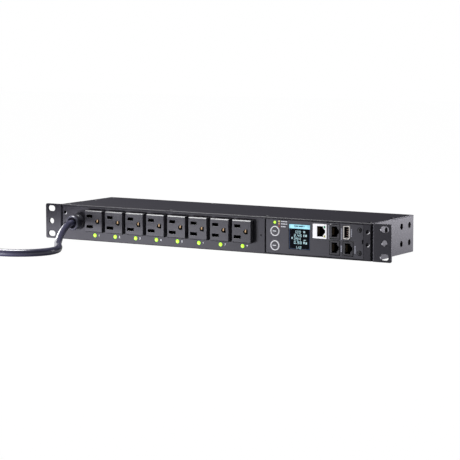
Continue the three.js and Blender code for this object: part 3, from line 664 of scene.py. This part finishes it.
half_length = HALF_WIDTH - CORNER_GAP
channel = carved(sheet(bent_channel(), -half_length, half_length, 0.25, "x"), *panel_cutters())
wall = side_wall()
chassis = merged(channel, wall, mirrored(wall), top_flange(), *[ledge(*ends) for ends in LEDGES])
piece("chassis", chassis, PAINT, ["chassis_tray"])

wall_screws = [
    placed(SMALL_SCREW, facing, 20 + 31 * number, side * (HALF_WIDTH - 0.6), WALL_SCREW_ROW, z)
    for side, facing in ((1, TOWARDS_RIGHT), (-1, TOWARDS_LEFT))
    for number, z in enumerate(SCREW_HEIGHTS)
]


def bare_crescent(x, z):
    """A painted highlight: a glowing crescent low on the right of a hole's countersink, where its inner wall
    catches the light.
    """
    outer = arc(x, z, 2.5, -100, 10, 10)
    inner = arc(x - 0.22, z + 0.22, 2.35, 5, -95, 10)
    return prism(outer + inner, -0.05, 0.3)


# Painted highlights in the four end holes.
piece("painted_highlight_crescents", merged(*[bare_crescent(*place) for place in END_HOLES]), SHIELD_STEEL_SHEEN)
piece("wall_screws", merged(*wall_screws), BLACK_STEEL)


def cover_section():
    """The cover's plate and its two lips, in Y and Z."""
    low = TOP - SHEET
    return (
        [(0, COVER_LIP)]
        + arc(BEND, TOP - BEND, BEND, 180, 90, 6)
        + arc(DEPTH - BEND, TOP - BEND, BEND, 90, 0, 6)
        + [(DEPTH, COVER_LIP), (DEPTH - SHEET, COVER_LIP), (DEPTH - SHEET - 0.4, low)]
        + [(SHEET + 0.4, low), (SHEET, COVER_LIP)]
    )


SINK = ((TOP + 0.2, 3.6), (TOP - 1.1, 2.1), (TOP - 2, 2.1))
sinks = [turned(SINK, place, "z", 28) for place in COVER_SCREWS]
cover = carved(sheet(cover_section(), -HALF_WIDTH, HALF_WIDTH, 0.25, "x"), *sinks)
piece("cover", cover, PAINT, ["top_cover"])
cover_screws = [
    placed(SMALL_SCREW, UPWARDS, 15 + 37 * number, x, y, TOP - 0.35)
    for number, (x, y) in enumerate(COVER_SCREWS)
]
piece("cover_screws", merged(*cover_screws), BLACK_STEEL)


# ---- Rack ears ----
def ear_section():
    """The right ear's angle, in X and Y, with its bend."""
    centre = EAR_INNER + EAR_BEND
    return (
        [(EAR_OUTER, 0), (EAR_OUTER, EAR_THICK)]
        + arc(centre, EAR_BEND, EAR_BEND - EAR_THICK, 270, 180, 4)
        + [(EAR_FACE, EAR_DEPTH), (EAR_INNER, EAR_DEPTH)]
        + arc(centre, EAR_BEND, EAR_BEND, 180, 270, 8)
    )


def right_ear():
    """An angle with round corners, two slots and a round rack hole, and four countersunk screw holes."""
    low, high = RACK_MIDDLE - EAR_HALF_HEIGHT, RACK_MIDDLE + EAR_HALF_HEIGHT
    angle = sheet(ear_section(), low, high, 0.3, "z")
    corners = (200, low - 0.01, EAR_OUTER, high + 0.01)
    rounder = prism(rounded(*corners, 2.2, 6), -5, 60)
    angle = combine(angle, [rounder], "INTERSECT")
    cutters = []
    for rise in (-RACK_RISE, RACK_RISE):
        cutters.append(slot_cutter(RACK_HOLE_X, RACK_MIDDLE + rise, *RACK_SLOT, 3.55, 0, 4, 0.12))
    cutters.append(turned([(-0.2, 3.9), (0.15, 3.6), (4, 3.6)], (RACK_HOLE_X, RACK_MIDDLE)))
    countersunk = [(214, 1.9), (216.9, 1.9), (EAR_FACE + 0.1, 3.9)]
    cutters += [turned(countersunk, place, "x", 28) for place in EAR_SCREWS]
    return carved(angle, *cutters)


ear = right_ear()
for side, end, facing in ((1, "right", TOWARDS_RIGHT), (-1, "left", TOWARDS_LEFT)):
    angle = ear.copy() if side > 0 else mirrored(ear)
    piece(end + "_rack_ear", angle, PAINT, [end + "_ear"])
    for number, (y, z) in enumerate(EAR_SCREWS, 1):
        screw = placed(FLAT_SCREW, facing, 25 + 40 * number, side * EAR_FACE, y, z)
        name = "%s_ear_screw_%d" % (end, number)
        piece(name + "_head", screw, BLACK_STEEL, [name])


# ---- Outlets ----
def earth_arch(inset=0):
    """An earth hole's outline: round on its left and square on its right."""
    half, right, corner = 2.75 - inset, 9 - inset, 0.3
    low, high = OUTLET_Z - half, OUTLET_Z + half
    square = [(right - corner, low), (right, low + corner), (right, high - corner), (right - corner, high)]
    return arc(5.75, OUTLET_Z, half, 90, 270, 12) + square


def outlet_shape():
    """One outlet at x = 0: a raised face with round edges, two slots, an arched earth hole and chambers."""
    half_width, half_height = OUTLET_HALF
    rim = about(0, OUTLET_Z, half_width, half_height, 0.8)
    face = loft([
        lift(about(0, OUTLET_Z, half_width - 0.45, half_height - 1.1, 0.5), OUTLET_FRONT),
        lift(rim, OUTLET_FRONT + 1.1),
        lift(rim, -0.3),
    ])
    back = prism(about(0, OUTLET_Z, 12, 12.5, 0.8), -0.5, OUTLET_BACK)
    whole = combine(face, [back], "UNION")
    slots = [slot_cutter(*slot, 0.3, OUTLET_FRONT, BEHIND_OUTLET, 0.22) for slot in SLOTS]
    slots.append(prism(earth_arch(), OUTLET_FRONT - 1, BEHIND_OUTLET))
    rooms = [about(SLOT_X, OUTLET_Z + rise, 4.9, 2.4, 0.2) for rise in (-SLOT_RISE, SLOT_RISE)]
    rooms.append(rounded(3, 21.4, 9.8, 28.6, 0.2))
    chambers = [prism(room, SHADE_SLEEVE_END, BEHIND_OUTLET) for room in rooms]
    return carved(carved(whole, *slots), *chambers)


def slot_lining(u, v, half_u, half_v):
    """A thin dark sleeve just inside a slot's mouth: painted shade where the slot lies in shadow."""
    outer = about(u, v, half_u - 0.02, half_v - 0.02, 0.28)
    inner = about(u, v, half_u - 0.15, half_v - 0.15, 0.2)
    return sheet(outer, OUTLET_FRONT + 0.05, SHADE_SLEEVE_END, 0.02, "y", [inner])


# Painted shade: a dark sleeve just inside the earth hole's mouth.
def earth_lining():
    return sheet(earth_arch(), OUTLET_FRONT + 0.05, SHADE_SLEEVE_END, 0.02, "y", [earth_arch(0.1)])


def earth_leaf():
    """The sprung leaf that shows just inside the earth hole, in glowing brass as a painted glint."""
    return prism(about(4.1, OUTLET_Z + 0.9, 0.75, 1.9, 0.3), -3.4, -3)


def at_each_outlet(mesh):
    return merged(*[moved(mesh, x) for x in outlet_places])


outlet_master = outlet_shape()
for number, x in enumerate(outlet_places, 1):
    outlet = moved(outlet_master, x)
    name = "outlet_%d" % number
    piece("receptacle_%d" % number, outlet, OUTLET_PLASTIC, [name], sharp=40)
# Dark sleeves in every slot and earth hole: painted shade.
shade_sleeves = merged(*[slot_lining(*slot) for slot in SLOTS], earth_lining())
piece("slot_painted_shade", at_each_outlet(shade_sleeves), DARK_PLASTIC_AND_SHADE)
piece("earth_leaves", at_each_outlet(earth_leaf()), LEAF_BRASS_GLINT)

lamp_profile = [(-0.6, 0.6), (-0.57, 1.3), (-0.4, 1.9), (-0.05, 2.3), (-0.02, 1.78), (4, 1.78)]
lamps = [turned(lamp_profile, (x + LAMP_OFFSET, LAMP_Z), steps=24) for x in outlet_places]
piece("outlet_lamps", merged(*lamps), LAMP_GLOW, ["outlet_lamp_pipe"], sharp=60)


def numeral(text, x, z, height, depth):
    """A figure in the plane of the panel; its font is 1.37 times as tall as its figures."""
    curve = bpy.data.curves.new("numeral", "FONT")
    curve.body = text
    curve.size = height * 1.37
    curve.align_x = "CENTER"
    curve.align_y = "CENTER"
    curve.extrude = 0.03
    curve.offset = 0.1
    mesh = evaluated(put("numeral", curve))
    mesh.transform(Matrix.Translation((x, depth, z)) @ Matrix.Rotation(math.pi / 2, 4, "X"))
    return mesh


digits = [
    numeral(str(number), x + NUMERAL_OFFSET, LAMP_Z, NUMERAL_HEIGHT, -0.02)
    for number, x in enumerate(outlet_places, 1)
]
piece("outlet_numbers", merged(*digits), INK)


# ---- Control module ----
def module_outline():
    """The plate's rectangle, with a notch for the latch in its right edge."""
    left, bottom, right, top = MODULE
    low, high, deep = LATCH_NOTCH
    return [
        (left, bottom), (right, bottom), (right, low), (right - deep, low),
        (right - deep, high), (right, high), (right, top), (left, top),
    ]


def module_holes():
    left, bottom, right, top = ETHERNET
    holes = [rounded(*WINDOW, 0.4, 3), rounded(left - 0.3, bottom - 0.3, right + 0.3, top + 0.3, 0.4, 3)]
    holes += [about(x, z, 6.9, 8.55, 0.4) for x, z in JACKS.values()]
    holes += [circle(BUTTON_X, z, 6.15, 40) for z in BUTTON_HEIGHTS.values()]
    holes += [circle(*STATUS, 1.7, 20), about(*USB, 4.6, 8, 1)]
    return holes + [circle(*place, 1.7, 20) for place in MODULE_SCREWS]


plate = sheet(module_outline(), 0, SHEET, 0.25, "y", module_holes())
piece("module_face", plate, PLATE_PAINT, ["module_plate"])
heads = [
    placed(PLATE_SCREW, Matrix.Identity(4), 20 + 50 * number, x, -0.02, z)
    for number, (x, z) in enumerate(MODULE_SCREWS)
]
piece("module_screws", merged(*heads), PLATE_STEEL)
# Dark rings round the plate screws: painted shade in their countersinks.
shade_ring_profile = [(-0.03, 2.4), (-0.03, 3), (0.3, 3), (0.3, 2.4)]
shade_rings = [turned(shade_ring_profile, place, ring=True) for place in MODULE_SCREWS]
piece("screw_shade_rings", merged(*shade_rings), DARK_PLASTIC_AND_SHADE)
status = turned([(-0.4, 0.5), (-0.36, 0.9), (-0.2, 1.3), (0.1, 1.5), (15.2, 1.5)], STATUS, steps=24)
piece("status_lamp", status, LAMP_GLOW, ["status_light"], sharp=60)


def mark(u0, v0, u1, v1, depth=-0.04, radius=0.15, thick=0.1):
    """A printed mark, as a thin raised patch on a face."""
    return prism(rounded(u0, v0, u1, v1, radius, 2), depth, depth + thick)


words = []
for name, z, dashes, material in (
    ("high", 39.4, 4, YELLOW_MARK), ("middle", 36.6, 4, ORANGE_MARK), ("low", 33.4, 3, RED_MARK),
):
    piece("legend_" + name, mark(94.9, z - 0.95, 97.5, z + 0.95), material)
    words += [mark(99 + 2.1 * dash, z - 0.55, 100.6 + 2.1 * dash, z + 0.55) for dash in range(dashes)]
piece("legend_words", merged(*words), INK)


def label(x, low, high, count):
    """A column of short dashes that stands for a label set on its side."""
    half = 0.75
    pitch = (high - low) / count
    starts = [low + pitch * row for row in range(count)]
    return [mark(x - half, start, x + half, start + 0.72 * pitch) for start in starts]


labels = [dash for place in LABELS for dash in label(*place)]
piece("socket_labels", merged(*labels), SOFT_INK)


# ---- Display ----
def screen():
    """The window that stands in the module plate, and its wider frame behind the plate."""
    left, bottom, right, top = WINDOW
    window = block((left + 0.3, bottom + 0.3, right - 0.3, top - 0.3), 0.3, 0.55, 5, 0.1)
    frame_outline = rounded(left - 2.4, bottom - 2.4, right + 2.4, top + 2.4, 0.5)
    return merged(window, prism(frame_outline, 1.5, 5))


def screen_edges():
    """A dim blue glow along the window's left, lower and right edges."""
    left, bottom, right, top = WINDOW
    return merged(
        mark(left + 0.4, bottom + 0.4, left + 1.3, top - 5.4, 0.5, 0.05),
        mark(left + 0.4, bottom + 0.4, right - 0.4, bottom + 1, 0.5, 0.05),
        mark(right - 1, bottom + 0.4, right - 0.4, top - 5.4, 0.5, 0.05),
    )


def screen_header():
    left, _, right, top = WINDOW
    return mark(left + 0.4, top - 5.2, right - 0.3, top - 0.4, 0.5, 0.05)


piece("screen", screen(), SCREEN_GLASS, ["display_module"])
piece("screen_edges", screen_edges(), SCREEN_EDGE)
piece("screen_header", screen_header(), HEADER_GLOW)
header_marks = [mark(x, 34.3, x + width, 35.7, 0.45, 0.1) for x, width in HEADER_WORDS]
piece("header_marks", merged(*header_marks), HEADER_MARK)

# The bars that each figure lights: a is the top one, g the middle, d the lowest; b and c are on the right.
SEGMENTS = {"0": "abcdef", "1": "bc", "2": "abged", "4": "fgbc", "5": "afgcd", "8": "abcdefg", "9": "abcdfg"}
FIGURE_DEPTH = 0.48
FIGURE_THICK = 0.05


def segment(name, x, z, wide):
    """One bar of a seven-bar figure whose lower left corner is at x, z."""
    high = 3.2
    half = high / 2
    stroke = 0.5
    bars = {
        "a": (x, z + high - stroke, x + wide, z + high),
        "g": (x, z + half - stroke / 2, x + wide, z + half + stroke / 2),
        "d": (x, z, x + wide, z + stroke),
        "f": (x, z + half, x + stroke, z + high),
        "b": (x + wide - stroke, z + half, x + wide, z + high),
        "e": (x, z, x + stroke, z + half),
        "c": (x + wide - stroke, z, x + wide, z + half),
    }
    return mark(*bars[name], FIGURE_DEPTH, 0.08, FIGURE_THICK)


def figures(text, x, z, wide=2.3):
    """A number in seven-bar figures, with its points."""
    gap = 0.9
    marks = []
    for character in text:
        if character == ".":
            marks.append(mark(x, z, x + 0.6, z + 0.6, FIGURE_DEPTH, 0.1, FIGURE_THICK))
            x += 0.6 + gap * 0.7
        else:
            marks += [segment(name, x, z, wide) for name in SEGMENTS[character]]
            x += wide + gap
    return marks


def page_number():
    """The 1/2 at the foot of the display."""
    low, high = 8.6, 11.8
    slash = [(120.6, low), (121.2, low), (122.6, high), (122, high)]
    bar = prism(slash, FIGURE_DEPTH, FIGURE_DEPTH + FIGURE_THICK)
    return figures("1", 117.9, low, 1.6) + figures("2", 123.2, low, 2.4) + [bar]


def unit_marks():
    """Plain patches that stand for the readings' unit letters."""
    patches = (
        (128.2, 27.4, 130.4, 2.3), (128.2, 23, 129.7, 2.6), (130.6, 23, 132.8, 2.6), (128.2, 18.6, 131.4, 1),
        (128.2, 14.7, 130, 2.9), (131, 14.4, 133, 2.4), (112.5, 19.8, 114.1, 2.4),
    )
    return [mark(x0, z, x1, z + high, FIGURE_DEPTH, 0.2, FIGURE_THICK) for x0, z, x1, high in patches]


readings = []
for text, z in (("120", 26.6), ("2.45", 22.5), ("294", 18.4), ("0.98", 14.3)):
    readings += figures(text, 115.9, z)
piece("screen_figures", merged(*readings, *page_number(), *unit_marks()), DIGIT_GLOW)


# ---- Push buttons: a pale ring round a dark cap ----
CAP = ((-0.5, 1), (-0.55, 3.6), (-0.45, 4.5), (-0.2, 4.7), (2.6, 4.7))
STEM = ((2.5, 2.4), (9.9, 2.4), (10, 1.3), (11.6, 1.3))
RING = (
    (-0.5, 4.75), (-0.75, 4.85), (-0.8, 5.1), (-0.78, 5.5), (-0.6, 5.8), (-0.3, 5.9), (2.6, 5.9), (2.6, 4.75),
)
RIM = ((1.5, 5.8), (1.5, 6.9), (2.6, 6.9), (2.6, 5.8))


def button_dash(offset, z):
    x = BUTTON_X + offset
    return mark(x - 0.6, z - 0.6, x + 0.6, z + 0.6, -0.6, 0.2, 0.2)


for place, z in BUTTON_HEIGHTS.items():
    at = (BUTTON_X, z)
    body = "%s_button" % place
    cap = merged(turned(CAP, at, steps=40), turned(STEM, at, steps=20))
    piece("button_cap_" + place, cap, BUTTON_PLASTIC, ["button_" + place], body)
    piece("button_ring_" + place, turned(RING, at, steps=48, ring=True), RING_PLASTIC, body=body)
    piece("button_rim_" + place, turned(RIM, at, steps=32, ring=True), BUTTON_PLASTIC, body=body)
    dashes = [button_dash(offset, z) for offset in (-2.1, -0.5, 1.1)]
    piece("button_mark_" + place, merged(*dashes), INK, body=body)


# ---- Sockets ----
def mouth_outline(x, z, left, right, half, notch_right, notch_half):
    """A socket mouth on its side, with its latch notch stepping out to the right."""
    wall = x + right
    step = wall + (notch_right - right) * 0.45
    tip = x + notch_right
    shoulder = notch_half + 1.4
    return [
        (x + left, z - half), (wall, z - half), (wall, z - shoulder), (step, z - shoulder),
        (step, z - notch_half), (tip, z - notch_half), (tip, z + notch_half), (step, z + notch_half),
        (step, z + shoulder), (wall, z + shoulder), (wall, z + half), (x + left, z + half),
    ]


def drawn_in(outline, x, z, scale_x, scale_z):
    """An outline made smaller about a centre."""
    return [(x + (u - x) * scale_x, z + (v - z) * scale_z) for u, v in outline]


def mouth(outline):
    return prism(outline, -1, SOCKET_DEPTH)


def lining(outline, inner, front):
    """Painted shade: a socket's near-black inner walls, and a dark floor at its back."""
    walls = sheet(outline, front, SOCKET_DEPTH + 0.2, 0.02, "y", [inner])
    return merged(walls, prism(outline, SOCKET_DEPTH - 0.4, SOCKET_DEPTH + 0.1))


def socket_wires(left, z):
    """Eight contact wires along the left side of a socket's mouth."""
    wires = []
    for row in range(8):
        outline = about(left, z + 1.02 * (row - 3.5), 0.15, 0.3, 0.05)
        wires.append(prism(outline, 0.9, 5.5))
    return merged(*wires)


def modular_jack(place, x, z):
    opening = mouth_outline(x, z, -4, 3, 6.1, 5.4, 2.25)
    shell = carved(block((x - 6.35, z - 8, x + 6.35, z + 8), 0.5, -0.2, SOCKET_BACK, 0.3), mouth(opening))
    piece("jack_frame_" + place, shell, JACK_PLASTIC, ["modular_jack_" + place])
    walls = lining(drawn_in(opening, x, z, 0.995, 0.995), drawn_in(opening, x, z, 0.93, 0.95), 0.9)
    piece("jack_painted_shade_" + place, walls, DARK_PLASTIC_AND_SHADE)
    piece("jack_wires_" + place, socket_wires(x - 3.6, z), CONTACT_WIRE)


def ethernet_jack():
    x = ETHERNET_MOUTH_X
    z = (ETHERNET[1] + ETHERNET[3]) / 2
    opening = mouth_outline(x, z, -4.1, 4.1, 6.1, 6.8, 2.25)
    shield = carved(block(ETHERNET, 0.5, -0.3, SOCKET_BACK, 0.3), mouth(opening))
    piece("ethernet_shield", shield, SHIELD_STEEL_SHEEN, ["ethernet_jack"])
    piece("ethernet_painted_shade", lining(opening, drawn_in(opening, x, z, 0.94, 0.95), 0.3), DARK_PLASTIC_AND_SHADE)
    piece("ethernet_wires", socket_wires(x - 3.75, z), CONTACT_WIRE)
    piece("link_lamp", block((155.2, 34.6, 157.4, 37.6), 0.2, -0.36, 3, 0.08), GREEN_LAMP)
    piece("activity_lamp", block((155.2, 23.9, 157.4, 26.6), 0.2, -0.36, 3, 0.08), AMBER_LAMP)


for place, centre in JACKS.items():
    modular_jack(place, *centre)
ethernet_jack()


def usb_shell():
    """A drawn steel shell with a flared mouth, from its outline at nine depths, outside then inside."""
    outside = ((15.2, 3.4, 7.1), (0.3, 3.4, 7.1), (-0.35, 3.8, 7.4), (-0.6, 4, 7.5))
    inside = ((-0.55, 3.75, 7.3), (-0.2, 3.3, 6.9), (0.4, 3, 6.65), (12, 3, 6.65), (12.1, 0.2, 0.2))
    loops = []
    for y, half_u, half_v in outside + inside:
        loops.append(lift(about(*USB, half_u, half_v, min(half_u, 1.1), 5), y))
    return loft(loops)


def usb_tongue():
    """The tongue that carries the contacts, with a dark back wall and dark walls inside the steel shell:
    painted shade in the port.
    """
    x, z = USB
    tongue = block((x - 1.9, z - 5.5, x - 0.1, z + 5.5), 0.2, 1, 12, 0.15)
    back = prism(about(x, z, 2.9, 6.55, 0.4), 11.2, 11.9)
    walls = sheet(about(x, z, 2.97, 6.62, 0.4), 0.3, 12, 0.02, "y", [about(x, z, 2.8, 6.45, 0.35)])
    return merged(tongue, back, walls)


def usb_contacts():
    x, z = USB
    rises = (-3.5, -1, 1, 3.5)
    return merged(*[mark(x - 0.1, z + rise - 0.5, x + 0.5, z + rise + 0.5, 1.3, 0.1, 6) for rise in rises])


piece("usb_shell", usb_shell(), SHELL_STEEL_SHEEN, ["usb_port"], sharp=50)
piece("usb_tongue", usb_tongue(), DARK_PLASTIC_AND_SHADE)
piece("usb_contacts", usb_contacts(), CONTACT_PAD)


# ---- Strain relief ----
def gland_ring(sections):
    """A ring through sections that each have a place along Y, a radius and a half-width over the flats."""
    loops = [lift(clipped_circle(*GLAND, radius, flat), y) for y, radius, flat in sections]
    return loft(loops, ring=True)


def gland():
    """A collar, and a round head with two flats whose bore dishes in round the cord."""
    collar = turned([(-3, 9.1), (-2.7, 9.6), (-2, 9.8), (-0.3, 9.8)], GLAND, steps=48)
    outside = ((-2.5, 9, 8.6), (-12, 9.2, 8.9), (-13.1, 9, 8.8), (-14, 8.4, 8.2), (-14.5, 7.6, 7.5))
    inside = ((-14.4, 7.1, 7), (-13.9, 6.6, 6.5), (-9.2, 5.6, 5.4), (-8, 4.45, 4.45), (-2.6, 4.42, 4.42))
    behind = turned([(-0.4, 8.3), (1.5, 8.3), (1.5, 9.8), (4.5, 9.8)], GLAND, steps=40)
    return merged(collar, gland_ring(outside + inside), behind)


def gland_rim():
    """A lighter, bluer skin over the round edge of the gland's mouth: a painted highlight."""
    outside = ((-12.1, 9.25, 8.95), (-13.1, 9.05, 8.85), (-14.05, 8.45, 8.25), (-14.55, 7.6, 7.5))
    inside = ((-14.45, 7.05, 6.95), (-13.8, 6.7, 6.6))
    return gland_ring(outside + inside)


strain_relief = piece("strain_relief", gland(), GLAND_PLASTIC, ["cord_gland"], sharp=30)
piece("gland_rim", gland_rim(), HIGHLIGHT_SKIN_PLASTIC, sharp=60)


# ---- Mains lead ----
def smooth(part):
    part = min(max(part, 0), 1)
    return part * part * (3 - 2 * part)


def coil_turns():
    """The coiled turns: in each layer the lead steps over to the next column twice, then up a layer."""
    points_per_turn = 24
    columns = len(COIL_RADII)
    layers = len(COIL_LEVELS)
    layer_rise = COIL_LEVELS[1] - COIL_LEVELS[0]
    last = COIL_TURNS * 360 + COIL_START - TAIL_START
    points = []
    for step in range(last * points_per_turn // 360 + 1):
        angle_so_far = step * 360 / points_per_turn
        radius = COIL_RADII[0]
        height = COIL_LEVELS[0]
        for layer in range(layers):
            order = COIL_RADII if layer % 2 == 0 else COIL_RADII[::-1]
            for column in range(columns):
                begun = 360 * (columns * layer + column) - STEP_ANGLE * layer
                if column < columns - 1:
                    across = smooth((angle_so_far - begun - 360 + STEP_ANGLE) / STEP_ANGLE)
                    radius += (order[column + 1] - order[column]) * across
                elif layer < layers - 1:
                    height += layer_rise * smooth((angle_so_far - begun - 180) / STEP_ANGLE)
        angle = math.radians(COIL_START - angle_so_far)
        points.append((COIL[0] + radius * math.cos(angle), COIL[1] + radius * math.sin(angle), height))
    return points


def tail_centre():
    """The middle of the tail's arc, which touches the outer turn where it leaves it."""
    reach = COIL_RADII[0] - TAIL_RADIUS
    angle = math.radians(TAIL_START)
    return COIL[0] + reach * math.cos(angle), COIL[1] + reach * math.sin(angle)


def tail_points():
    """From the top layer in a rising arc over the inner turns, then straight into the plug."""
    heights = (34.2, 36, 38.2, 40.3, 42.4, 44.3, 45.7, 46.3)
    centre_x, centre_y = tail_centre()
    points = []
    for number, z in enumerate(heights, 1):
        angle = math.radians(TAIL_START - 15 * number)
        points.append((centre_x + TAIL_RADIUS * math.cos(angle), centre_y + TAIL_RADIUS * math.sin(angle), z))
    x = centre_x - TAIL_RADIUS
    return points + [(x, centre_y + 6, PLUG_Z), (x, centre_y + 18, PLUG_Z)]


def cord_curve(name, points, radius):
    """A round lead along a smooth curve through its points."""
    data = bpy.data.curves.new(name, "CURVE")
    data.dimensions = "3D"
    data.bevel_depth = radius * MM
    data.bevel_resolution = 6
    data.resolution_u = 4
    data.use_fill_caps = True
    spline = data.splines.new("BEZIER")
    spline.bezier_points.add(len(points) - 1)
    for knot, point in zip(spline.bezier_points, points):
        knot.co = PLACE @ Vector(point)
        knot.handle_left_type = "AUTO"
        knot.handle_right_type = "AUTO"
    data.materials.append(SHEEN_JACKET)
    return put(name, data)


def strap():
    """A hook-and-loop strap, 1 mm thick, round the bundle at one side of the coil."""
    low, high = COIL_LEVELS[0] - CORD_RADIUS, COIL_LEVELS[-1] + CORD_RADIUS + 1
    near, far = COIL_RADII[-1] - CORD_RADIUS - 0.8, COIL_RADII[0] + CORD_RADIUS + 0.8
    bundle = rounded(near + 1, low + 1, far - 1, high - 1, 3.2, 6)
    band = sheet(rounded(near, low, far, high, 4, 6), -8, 8, 0.2, "y", [bundle])
    return transformed(band, Matrix.Translation((*COIL, 0)) @ Matrix.Rotation(math.radians(135), 4, "Z"))


lead = cord_curve("mains_lead", LEAD_ROUTE + coil_turns() + tail_points(), CORD_RADIUS)
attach(lead, "unit")
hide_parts("power_cord", "cord_coil")
tie = piece("coil_tie", strap(), STRAP)


# ---- Plug ----
PLUG_RELIEF = 24
PLUG_LENGTH = 36
PLUG_X = tail_centre()[0] - TAIL_RADIUS
PLUG_BACK = tail_centre()[1] + 4.3
PLUG_BODY_BACK = PLUG_BACK + PLUG_RELIEF
PLUG_FACE = PLUG_BODY_BACK + PLUG_LENGTH


def plug_body():
    """A waisted moulding, from sections with a place, two half sizes and a corner radius."""
    sections = (
        (0, 10, 7.4, 3.4), (0.8, 11.4, 8.6, 4), (5, 12.4, 10, 4), (14, 12.8, 10.6, 4), (22, 11.6, 9.8, 4),
        (29, 12.6, 10.5, 4), (35, 13, 10.7, 3.6), (35.8, 12.7, 10.4, 3.3), (36, 12.2, 9.9, 3),
    )
    return loft([
        lift(about(PLUG_X, PLUG_Z, half_u, half_v, radius, 6), PLUG_BODY_BACK + along)
        for along, half_u, half_v, radius in sections
    ])


def plug_relief():
    """The relief behind the moulding, cut into six rings that widen towards the plug."""
    profile = [(PLUG_BACK, 4.42), (PLUG_BACK + 0.01, 5)]
    for rib in range(6):
        along = PLUG_BACK + 0.6 + rib * 3.9
        radius = 5.2 + rib * 0.5
        profile += [(along, radius), (along + 2.3, radius + 0.2)]
        profile += [(along + 2.5, radius - 0.9), (along + 3.6, radius - 0.8)]
    profile.append((PLUG_BODY_BACK + 0.5, 8))
    return turned(profile, (PLUG_X, PLUG_Z), steps=32)


def plug_blade(offset, half):
    """A flat blade with a tapered tip and a round hole."""
    x = PLUG_X + offset
    z = PLUG_Z - 3
    start = PLUG_FACE + 0.1
    loops = []
    for along, thick, taper in ((0, 0.75, 0), (15.4, 0.75, 0), (16.9, 0.4, 0.8), (17, 0.2, 1)):
        loops.append(lift(about(x, z, thick, half - taper, 0.3, 2), start + along))
    hole = turned([(x - 3, 1.5), (x + 3, 1.5)], (start + 12, z), "x", 20)
    return carved(loft(loops), hole)


def earth_pin():
    profile = ((0.1, 2.38), (17.6, 2.38), (19.2, 1.9), (20.1, 0.8))
    return turned([(PLUG_FACE + along, radius) for along, radius in profile], (PLUG_X, PLUG_Z + 7), steps=24)


plug = piece("plug", merged(plug_body(), plug_relief()), VINYL, ["plug_body"], sharp=40)
for name, blade in (
    ("plug_line_blade", plug_blade(-6.35, 3.2)),
    ("plug_neutral_blade", plug_blade(6.35, 4)),
    ("plug_earth_pin", earth_pin()),
):
    piece(name + "_metal", blade, BLADE_METAL, [name])


# ---- The nodes inside the case keep their CAD shape ----
def refinish(node, material):
    kept = nodes[node]
    kept.data.materials.clear()
    kept.data.materials.append(material)


for number in range(1, OUTLET_COUNT + 1):
    refinish("line_contact_%d" % number, SHADED_BRASS)
    refinish("relay_%d" % number, RELAY_PLASTIC)
for name in ("neutral", "earth"):
    refinish(name + "_bus", SHADED_BRASS)
for name in ("power", "control"):
    refinish(name + "_board", LAMINATE)
refinish("power_supply", SUPPLY_PLASTIC)
refinish("terminal_block", TERMINAL_PLASTIC)
